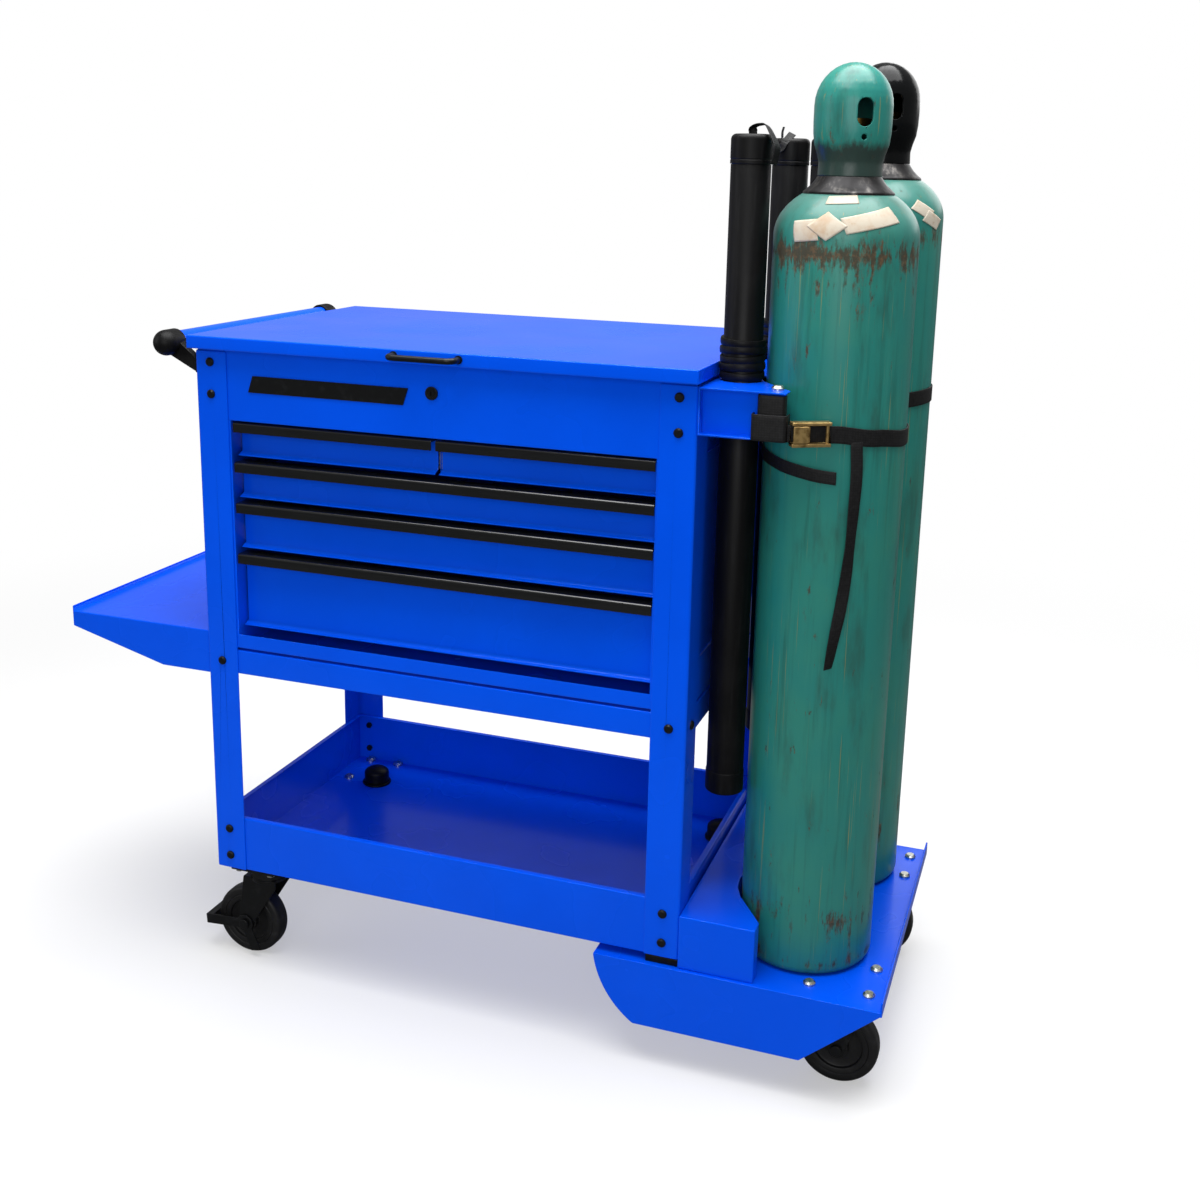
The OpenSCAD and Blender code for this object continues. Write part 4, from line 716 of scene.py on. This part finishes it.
class CART_OT_wheels(CartOperator, bpy.types.Operator):
    """Turns the four wheels: a solid tyre with round shoulders on a dished hub"""

    bl_idname = "cart.wheels"
    bl_label = "Wheels"

    def build(self, colours, sizes):
        for end in ENDS:
            for side in ("left", "right"):
                node = f"{end}_{side}_wheel"
                centre = axis_of(node)[0]
                bm = bmesh.new()
                far = [(r, -w) for r, w in reversed(WHEEL_SIDE)]
                turned(bm, [*WHEEL_SIDE, *far], 72, closed=True)
                bmesh.ops.rotate(bm, verts=bm.verts, matrix=Matrix.Rotation(math.radians(90), 3, "X"))
                bmesh.ops.translate(bm, verts=bm.verts, vec=centre)
                wheel = finished_object(f"{node}_turned", bm, finish("rubber"), NODE_BODY[node])
                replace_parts(wheel, node)


# Shape of a gas cylinder in millimetres: the round of its foot, its shoulder's rise over the straight side,
# and how far below the cap's seat the shoulder and the neck ring start
FOOT_ROUND, SHOULDER_H, SHOULDER_DROP, RING_DROP = 14, 78, 86, 25
# Degrees of the shoulder's round before it meets the neck ring
SHOULDER_TURN = 51
# The neck ring's height and radius, the cap's radius at its foot, and the thread's height over the seat
RING_H, RING_R, CAP_FOOT_R, THREAD_H = 3, 65.5, 46, 10
# The ring's flare up to the cap, as shares of its way in and of its way up
RING_FLARE = ((0, 0), (0.2, 0.14), (0.4, 0.3), (0.58, 0.46), (0.75, 0.65), (0.89, 0.83), (1, 1))
# Heights of the rings of rust over a cylinder's foot, with their spread and amount
RUST_RINGS = {"front": ((1.108, 0.05, 0.26), (1.07, 0.09, 0.12), (0.09, 0.08, 0.14), (0.02, 0.03, 0.16)),
              "rear": ((1.12, 0.05, 0.2), (0.1, 0.09, 0.12), (0.02, 0.03, 0.12))}


def cylinder_form(node):
    """Middle of a gas cylinder's foot, and its radius, shoulder's start and cap's seat in millimetres."""
    middle, low, high = axis_of(node)
    seat = (high - low) / MM - THREAD_H
    radius = (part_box(node)[1].x - middle.x) / MM
    return Vector((middle.x, middle.y, low)), radius, seat - SHOULDER_DROP, seat


class CART_OT_gas_cylinders(CartOperator, bpy.types.Operator):
    """Turns the gas cylinders with their neck rings, in old enamel"""

    bl_idname = "cart.gas_cylinders"
    bl_label = "Gas cylinders"

    def build(self, colours, sizes):
        for end in ENDS:
            node = f"{end}_cylinder"
            foot, radius, shoulder, seat = cylinder_form(node)
            neck = seat - RING_DROP
            profile = [(0, 6), (radius - 34, 6), (radius - 26, 1.5), (radius - 20, 0)]
            profile += arc((radius - FOOT_ROUND, FOOT_ROUND), (FOOT_ROUND, FOOT_ROUND), -90, 0, 8)
            profile += arc((0, shoulder), (radius, SHOULDER_H), 0, SHOULDER_TURN, 17)
            profile += [(RING_R - 12, neck - 2), (RING_R - 14, neck + 3), (0, neck + 3)]
            rings = tuple((foot.z + level, spread, amount) for level, spread, amount in RUST_RINGS[end])
            reach = (foot.z, foot.z + shoulder * MM + 0.08)
            enamel = worn_enamel(colours, f"Old enamel, {end}", reach, rings)
            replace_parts(turned_piece(f"{node}_shell", profile, 128, foot, enamel, node, 40), node)
            flare = RING_R - CAP_FOOT_R
            top = neck + RING_H
            tall = RING_DROP - RING_H - 0.3
            ring = [(RING_R - 10, neck - 1.5), (RING_R - 2, neck - 1.5), (RING_R, neck), (RING_R, top - 0.8)]
            ring += [(RING_R - 0.3 - share * flare, top + rise * tall) for share, rise in RING_FLARE]
            ring += [(30, seat - 0.3), (30, seat + 2), (29, seat + 2.6), (28.4, seat + 4), (29, seat + 5.4),
                     (28.4, seat + 7), (29, seat + 8.4), (28.4, seat + THREAD_H), (0, seat + THREAD_H)]
            turned_piece(f"{end}_neck_ring", ring, 96, foot, finish("steel"), node, 35)


class CART_OT_gas_caps(CartOperator, bpy.types.Operator):
    """Finishes the caps over the valves: worn enamel on the front one, gloss black on the rear one"""

    bl_idname = "cart.gas_caps"
    bl_label = "Gas caps"

    def build(self, colours, sizes):
        low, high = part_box("front_cap")
        rings = ((low.z + 0.05, 0.03, 0.1),)
        enamel = worn_enamel(colours, "Old enamel, cap", (low.z, high.z + 0.2), rings, 0.045)
        rounded_copy("front_cap", enamel, sizes.edge)
        rounded_copy("rear_cap", finish("gloss"), sizes.edge)


# Bare paper patches on the shoulder of a cylinder: turn from the cart's front, height over the foot,
# width, height and tilt
PATCHES = {"front": ((-24, 1141, 36, 41, 9), (30, 1157, 79, 31, 17), (-6, 1148, 39, 39, 47),
                     (4, 1184, 54, 15, 3)),
           "rear": ((52, 1166, 40, 24, -38), (64, 1150, 40, 26, -32))}


def shell_point(radius, shoulder, turn, height):
    """Point on a cylinder's shell at the given turn from the cart's front and height in millimetres."""
    share = max(0.0, min(0.86, (height - shoulder) / SHOULDER_H))
    out = radius * math.sqrt(1 - share * share)
    return Vector((out * math.sin(turn), -out * math.cos(turn), height))


class CART_OT_paper_patches(CartOperator, bpy.types.Operator):
    """Lays bare paper patches over the shoulders of the gas cylinders"""

    bl_idname = "cart.paper_patches"
    bl_label = "Paper patches"

    def build(self, colours, sizes):
        for end in ENDS:
            node = f"{end}_cylinder"
            foot, radius, shoulder, seat = cylinder_form(node)
            for i, (turn, height, wide, tall, tilt) in enumerate(PATCHES[end], 1):
                bm = bmesh.new()
                bmesh.ops.create_grid(bm, x_segments=16, y_segments=12, size=0.5)
                bmesh.ops.rotate(bm, verts=bm.verts, matrix=Matrix.Rotation(math.radians(tilt), 3, "Z")
                                 @ Matrix.Diagonal((wide, tall, 1)))
                lift = sizes.patch_t * (1 + 0.4 * i) / MM
                for vert in bm.verts:
                    level = height + vert.co.y * 0.72
                    around = math.radians(turn) + vert.co.x / (radius * 0.9)
                    vert.co = foot + shell_point(radius + lift, shoulder, around, level) * MM
                bmesh.ops.recalc_face_normals(bm, faces=bm.faces)
                patch = finished_object(f"{end}_patch_{i}", bm, finish("paper"), NODE_BODY[node])
                with_values(patch.modifiers.new("Thickness", "SOLIDIFY"), thickness=sizes.patch_t, offset=0)


# Turns of strap wound round a tube: how far each is tipped, which way, and how far it swells in millimetres
WINDINGS = ((3.2, 20, 0), (-2.6, 70, 0.9), (3.8, -30, 0.3), (-3.4, 15, 1.1), (4.2, 50, 0.5))
# Half the width of a turn, the height of the first one over the bracket, and the step to the next
WOUND_HALF, WOUND_FIRST, WOUND_PITCH = 5.6, 8, 12


class CART_OT_rod_tubes(CartOperator, bpy.types.Operator):
    """Turns the rod tubes and their caps, with strap wound round each over the bracket"""

    bl_idname = "cart.rod_tubes"
    bl_label = "Rod tubes"

    def build(self, colours, sizes):
        for number in TUBES:
            node = f"rod_tube_{number}"
            middle, low, high = axis_of(node)
            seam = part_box(f"rod_tube_cap_{number}")[0].z
            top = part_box(f"rod_tube_cap_{number}")[1].z
            tall = (seam - low) / MM
            inside = [(24.6, tall + 30), (25.4, 8), (0, 8)]
            profile = [(0, 0), (24, 0), *arc((26, 4), (4, 4), -90, 0, 5), (30, 34), (29.6, 35.6), (29, 36)]
            profile += [(29, tall - 1), (28.6, tall - 0.3), (27.5, tall - 0.3), (27.5, tall + 30), *inside]
            foot = Vector((middle.x, middle.y, low))
            tube = turned_piece(f"{node}_body", profile, 64, foot, finish("plastic"), node, 30)
            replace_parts(tube, node)
            self.cap(number, Vector((middle.x, middle.y, seam)), (top - seam) / MM)
            self.windings(number, Vector((middle.x, middle.y, 0)))

    def cap(self, number, foot, tall):
        """A tube's cap: a skirt with a groove, a round shoulder and a dished top. tall is in millimetres."""
        node = f"rod_tube_cap_{number}"
        profile = [(0, tall - 4), (27.8, tall - 4), (27.8, 0.4), (28.4, 0), (29.6, 0), (30, 0.5), (30, 5),
                   (29.5, 5.6), (29.5, 7), (30, 7.6)]
        profile += arc((22, tall - 8), (8, 8), 0, 78, 8) + [(18, tall - 0.7), (9, tall - 1.8), (0, tall - 2)]
        cap = turned_piece(f"{node}_body", profile, 64, foot, finish("plastic"), node, 30)
        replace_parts(cap, node)

    def windings(self, number, middle):
        """Five turns of strap, each tipped a little its own way."""
        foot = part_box("tube_bracket")[1].z + 0.0012
        for i, (tip, way, swell) in enumerate(WINDINGS):
            section = [(29.2, -WOUND_HALF), (31.6 + swell, -WOUND_HALF),
                       *arc((31.8 + swell, 0), (1.5, WOUND_HALF), -70, 70, 6),
                       (31.6 + swell, WOUND_HALF), (29.2, WOUND_HALF)]
            bm = bmesh.new()
            turned(bm, section, 56, closed=True)
            axis = Matrix.Rotation(math.radians(way), 3, "Z") @ Vector((1, 0, 0))
            bmesh.ops.rotate(bm, verts=bm.verts, matrix=Matrix.Rotation(math.radians(tip), 3, axis))
            level = foot + (WOUND_FIRST + WOUND_PITCH * i) * MM
            bmesh.ops.translate(bm, verts=bm.verts, vec=middle + UP * level)
            finished_object(f"rod_tube_{number}_winding_{i + 1}", bm, finish("plastic"), f"rod_tube_{number}",
                            30)


def touch_turn(centre, point, side, radius):
    """Angle at which a line from the point meets a circle, on one side."""
    away = point - centre
    return math.atan2(away.y, away.x) + side * math.acos(radius / away.length)


def strap_stations(centre, start, end, radius, heights):
    """Stations of a strap from start round a cylinder to end, with its height at even shares of the way."""
    first, last = touch_turn(centre, start, 1, radius), touch_turn(centre, end, -1, radius)
    steps = 48
    turns = [first + (last - first) * i / steps for i in range(steps + 1)]
    round_it = [centre + Vector((math.cos(turn), math.sin(turn))) * radius for turn in turns]
    plan = [start.lerp(round_it[0], i / 4) for i in range(4)]
    plan += round_it
    plan += [plan[-1].lerp(end, i / 4) for i in range(1, 5)]
    run = [0.0]
    for a, b in zip(plan, plan[1:]):
        run.append(run[-1] + (b - a).length)
    stations = []
    for point, travel in zip(plan, run):
        share = travel / run[-1] * (len(heights) - 1)
        i = min(int(share), len(heights) - 2)
        part = share - i
        part = part * part * (3 - 2 * part)
        height = heights[i] * (1 - part) + heights[i + 1] * part
        stations.append((Vector((point.x, point.y, height)), UP))
    return stations


def flat(x, y):
    """A point on the plan, given in millimetres from the cart's own corner."""
    return cart(x, y, 0).xy


# Width of the straps, their radius round a cylinder, and their height over the floor in millimetres
STRAP_W, STRAP_R, STRAP_Z = 0.025, 0.1064, 1038
# Start and end of a strap from the cart's own corner, and how far it drops along its way, in millimetres
STRAPS = {"front": ((970.4, 4), (994.4, 261.5), (0, 2, 9, 15, 14, 8, 2)),
          "rear": ((994.4, 327.5), (931.2, 509.1), (0, -3, -6, -6, -4, 0))}
# The strap between the two cylinders, as distances from the cart's front
MIDDLE_X, MIDDLE_STEPS = 994.4, (261, 272, 284, 294.5, 306, 318, 328)
# Loops that tie the straps to the bracket's front horn and rear web: height and width in millimetres, columns
# of faces across, and points in millimetres
LOOPS = {"front_loop": (1045, 38, 6, ((921, 13), (921.6, -1), (926, -4.6), (938, -4.9), (955, -4.9),
                                      (966, -4.6), (970.6, -1), (971, 8), (971, 18))),
         "inner_loop": (1061, 60, 8, ((928, 13), (929, 4), (934, 0.2), (948, -0.4), (961, 0.2), (966, 3),
                                      (967, 13))),
         "rear_loop": (STRAP_Z, 25, 6, ((886, 508.8), (908, 509.1), (931.5, 509.1)))}
# Loose end of the front strap: turn from the cart's front in degrees, and height in millimetres
LOOSE_END = ((-80, 996), (-62, 988.5), (-47, 985), (-32, 980.5), (-17, 977), (-2, 973.3), (13, 970.8))
LOOSE_W, LOOSE_R = 0.019, 0.1074


class CART_OT_straps(CartOperator, bpy.types.Operator):
    """Straps the gas cylinders to the bracket"""

    bl_idname = "cart.straps"
    bl_label = "Cylinder straps"

    def build(self, colours, sizes):
        thick = sizes.webbing_t
        bands = {}
        for end, (start, stop, drops) in STRAPS.items():
            centre = axis_of(f"{end}_cylinder")[0].xy
            heights = [(STRAP_Z - drop) * MM for drop in drops]
            stations = strap_stations(centre, flat(*start), flat(*stop), STRAP_R, heights)
            bands[end] = ribbon(f"{end}_strap", stations, STRAP_W, thick, columns=6)
        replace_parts(bands["front"], "cylinder_straps")
        middle = [(cart(MIDDLE_X, y, STRAP_Z), UP) for y in MIDDLE_STEPS]
        ribbon("middle_strap", middle, STRAP_W, thick, columns=6)
        for name, (level, wide, columns, route) in LOOPS.items():
            points = smooth_path([cart(x, y, level) for x, y in route], 4)
            ribbon(name, [(p, UP) for p in points], wide * MM, thick, columns=columns)
        self.loose_end(thick)

    def loose_end(self, thick):
        """The front strap's loose end, which hangs round the cylinder under the buckle."""
        centre = axis_of("front_cylinder")[0].xy
        points = []
        for degrees, level in LOOSE_END:
            turn = math.radians(degrees)
            points.append(Vector((centre.x + LOOSE_R * math.sin(turn), centre.y - LOOSE_R * math.cos(turn),
                                  level * MM)))
        ribbon("loose_end", [(p, UP) for p in smooth_path(points, 5)], LOOSE_W, thick)


# Ties over the tubes' caps: tube, width, and points from the middle of the cap's top, in millimetres
TIES = (("1", 13, ((0, 4, -2), (0.5, 3, 9), (10, 1, 13), (21, -2, 11.5), (33, -12, -4), (41, -19, -18),
                   (40, -20, -30), (37, -20, -42))),
        ("2", 13, ((-27, -15, -4), (-19, -24.5, -11), (-10, -29.5, -17), (-5, -29.8, -8), (1, -23, 1),
                   (5, -18, 7))),
        ("2", 4, ((-10, -24, 0), (-10.5, -22, 9), (-9, -20, 17))),
        ("3", 15, ((-20, 6, -3), (-18, 2, 10), (-10, -4, 13), (2, -12, 8), (10, -22, 1), (12, -29.5, -14))))
TIE_T = 0.0014


class CART_OT_tube_ties(CartOperator, bpy.types.Operator):
    """Curls a thin tie over the cap of each rod tube"""

    bl_idname = "cart.tube_ties"
    bl_label = "Tube ties"

    def build(self, colours, sizes):
        for i, (number, wide, route) in enumerate(TIES, 1):
            low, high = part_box(f"rod_tube_cap_{number}")
            top = Vector(((low.x + high.x) / 2, (low.y + high.y) / 2, high.z))
            line = smooth_path([top + Vector(point) * MM for point in route], 5)
            stations = []
            for point, before, after in zip(line, line[:1] + line, line[1:] + line[-1:]):
                along = (after - before).normalized()
                out = Vector((point.x - top.x, point.y - top.y, 0.02)).normalized()
                stations.append((point, along.cross(out).normalized()))
            for j in range(1, len(stations)):
                if stations[j][1].dot(stations[j - 1][1]) < 0:
                    stations[j] = (stations[j][0], -stations[j][1])
            ribbon(f"tube_tie_{i}", stations, wide * MM, TIE_T, f"rod_tube_cap_{number}")


# The soft lights: name, place, the point that each faces, width, height and power
LAMPS = (("Ceiling", (0.3, -0.2, 3.6), (0.1, 0, 0.4), 3.4, 2.6, 230),
         ("Front", (1.0, -4.2, 2.0), (0, 0, 0.6), 2.6, 2.0, 52),
         ("Left", (-3.4, -1.8, 2.0), (0, 0, 0.7), 1.6, 2.4, 16),
         ("Back", (1.5, 3.4, 2.4), (0, 0, 0.8), 3.0, 1.6, 24))
FLOOR_R = 30


class CART_OT_stage(CartOperator, bpy.types.Operator):
    """Lays the pale floor and hangs the soft lights"""

    bl_idname = "cart.stage"
    bl_label = "Floor and lights"

    def build(self, colours, sizes):
        bm = bmesh.new()
        bmesh.ops.create_circle(bm, cap_ends=True, segments=96, radius=FLOOR_R)
        mesh = bpy.data.meshes.new("Floor")
        bm.to_mesh(mesh)
        bm.free()
        mesh.materials.append(floor_paint())
        floor = in_scene("Floor", mesh)
        for lamp in LAMPS:
            self.light(*lamp)
        self.world()
        view = bpy.context.scene.view_settings
        view.view_transform = "Standard"
        view.look = "None"

    def light(self, name, place, towards, wide, tall, power):
        """A soft rectangular light that faces a point."""
        data = with_values(bpy.data.lights.new(name, "AREA"), shape="RECTANGLE", size=wide, size_y=tall,
                           energy=power)
        ahead = Vector(towards) - Vector(place)
        with_values(in_scene(name, data), location=place,
                    rotation_euler=ahead.to_track_quat("-Z", "Y").to_euler())

    def world(self):
        """Plain light from all round; the camera sees it as white."""
        world = bpy.data.worlds.new("Studio")
        world.use_nodes = True
        tree = world.node_tree
        soft = add(tree, "ShaderNodeBackground", {"Color": (1, 1, 1, 1), "Strength": 0.3})
        plain = add(tree, "ShaderNodeBackground", {"Color": (1, 1, 1, 1), "Strength": 1.0})
        seen = add(tree, "ShaderNodeLightPath", output="Is Camera Ray")
        both = add(tree, "ShaderNodeMixShader", {0: seen, 1: soft, 2: plain})
        tree.links.new(both, tree.nodes["World Output"].inputs["Surface"])
        bpy.context.scene.world = world


OPERATORS = (CART_OT_camera, CART_OT_strap_tail, CART_OT_sheet_metal, CART_OT_pressed_parts,
             CART_OT_bright_parts, CART_OT_badge, CART_OT_wheels, CART_OT_gas_cylinders, CART_OT_gas_caps,
             CART_OT_paper_patches, CART_OT_rod_tubes, CART_OT_straps, CART_OT_tube_ties, CART_OT_stage)


class CART_PT_pieces(bpy.types.Panel):
    """Lists the cart's operators and their colours and sizes"""

    bl_label = "Welding cart"
    bl_idname = "CART_PT_pieces"
    bl_space_type = "VIEW_3D"
    bl_region_type = "UI"
    bl_category = "Cart"

    def draw(self, context):
        layout = self.layout
        for group in (context.scene.cart_colours, context.scene.cart_sizes):
            for name in group.__annotations__:
                layout.prop(group, name)
        for operator in OPERATORS:
            layout.operator(operator.bl_idname)


CLASSES = (CartColours, CartSizes, *OPERATORS, CART_PT_pieces)


def register():
    for cls in CLASSES:
        bpy.utils.register_class(cls)
    bpy.types.Scene.cart_colours = PointerProperty(type=CartColours)
    bpy.types.Scene.cart_sizes = PointerProperty(type=CartSizes)


def unregister():
    del bpy.types.Scene.cart_sizes
    del bpy.types.Scene.cart_colours
    for cls in reversed(CLASSES):
        bpy.utils.unregister_class(cls)


def main():
    register()
    for operator in OPERATORS:
        group, name = operator.bl_idname.split(".")
        getattr(getattr(bpy.ops, group), name)()


if __name__ == "__main__":
    main()
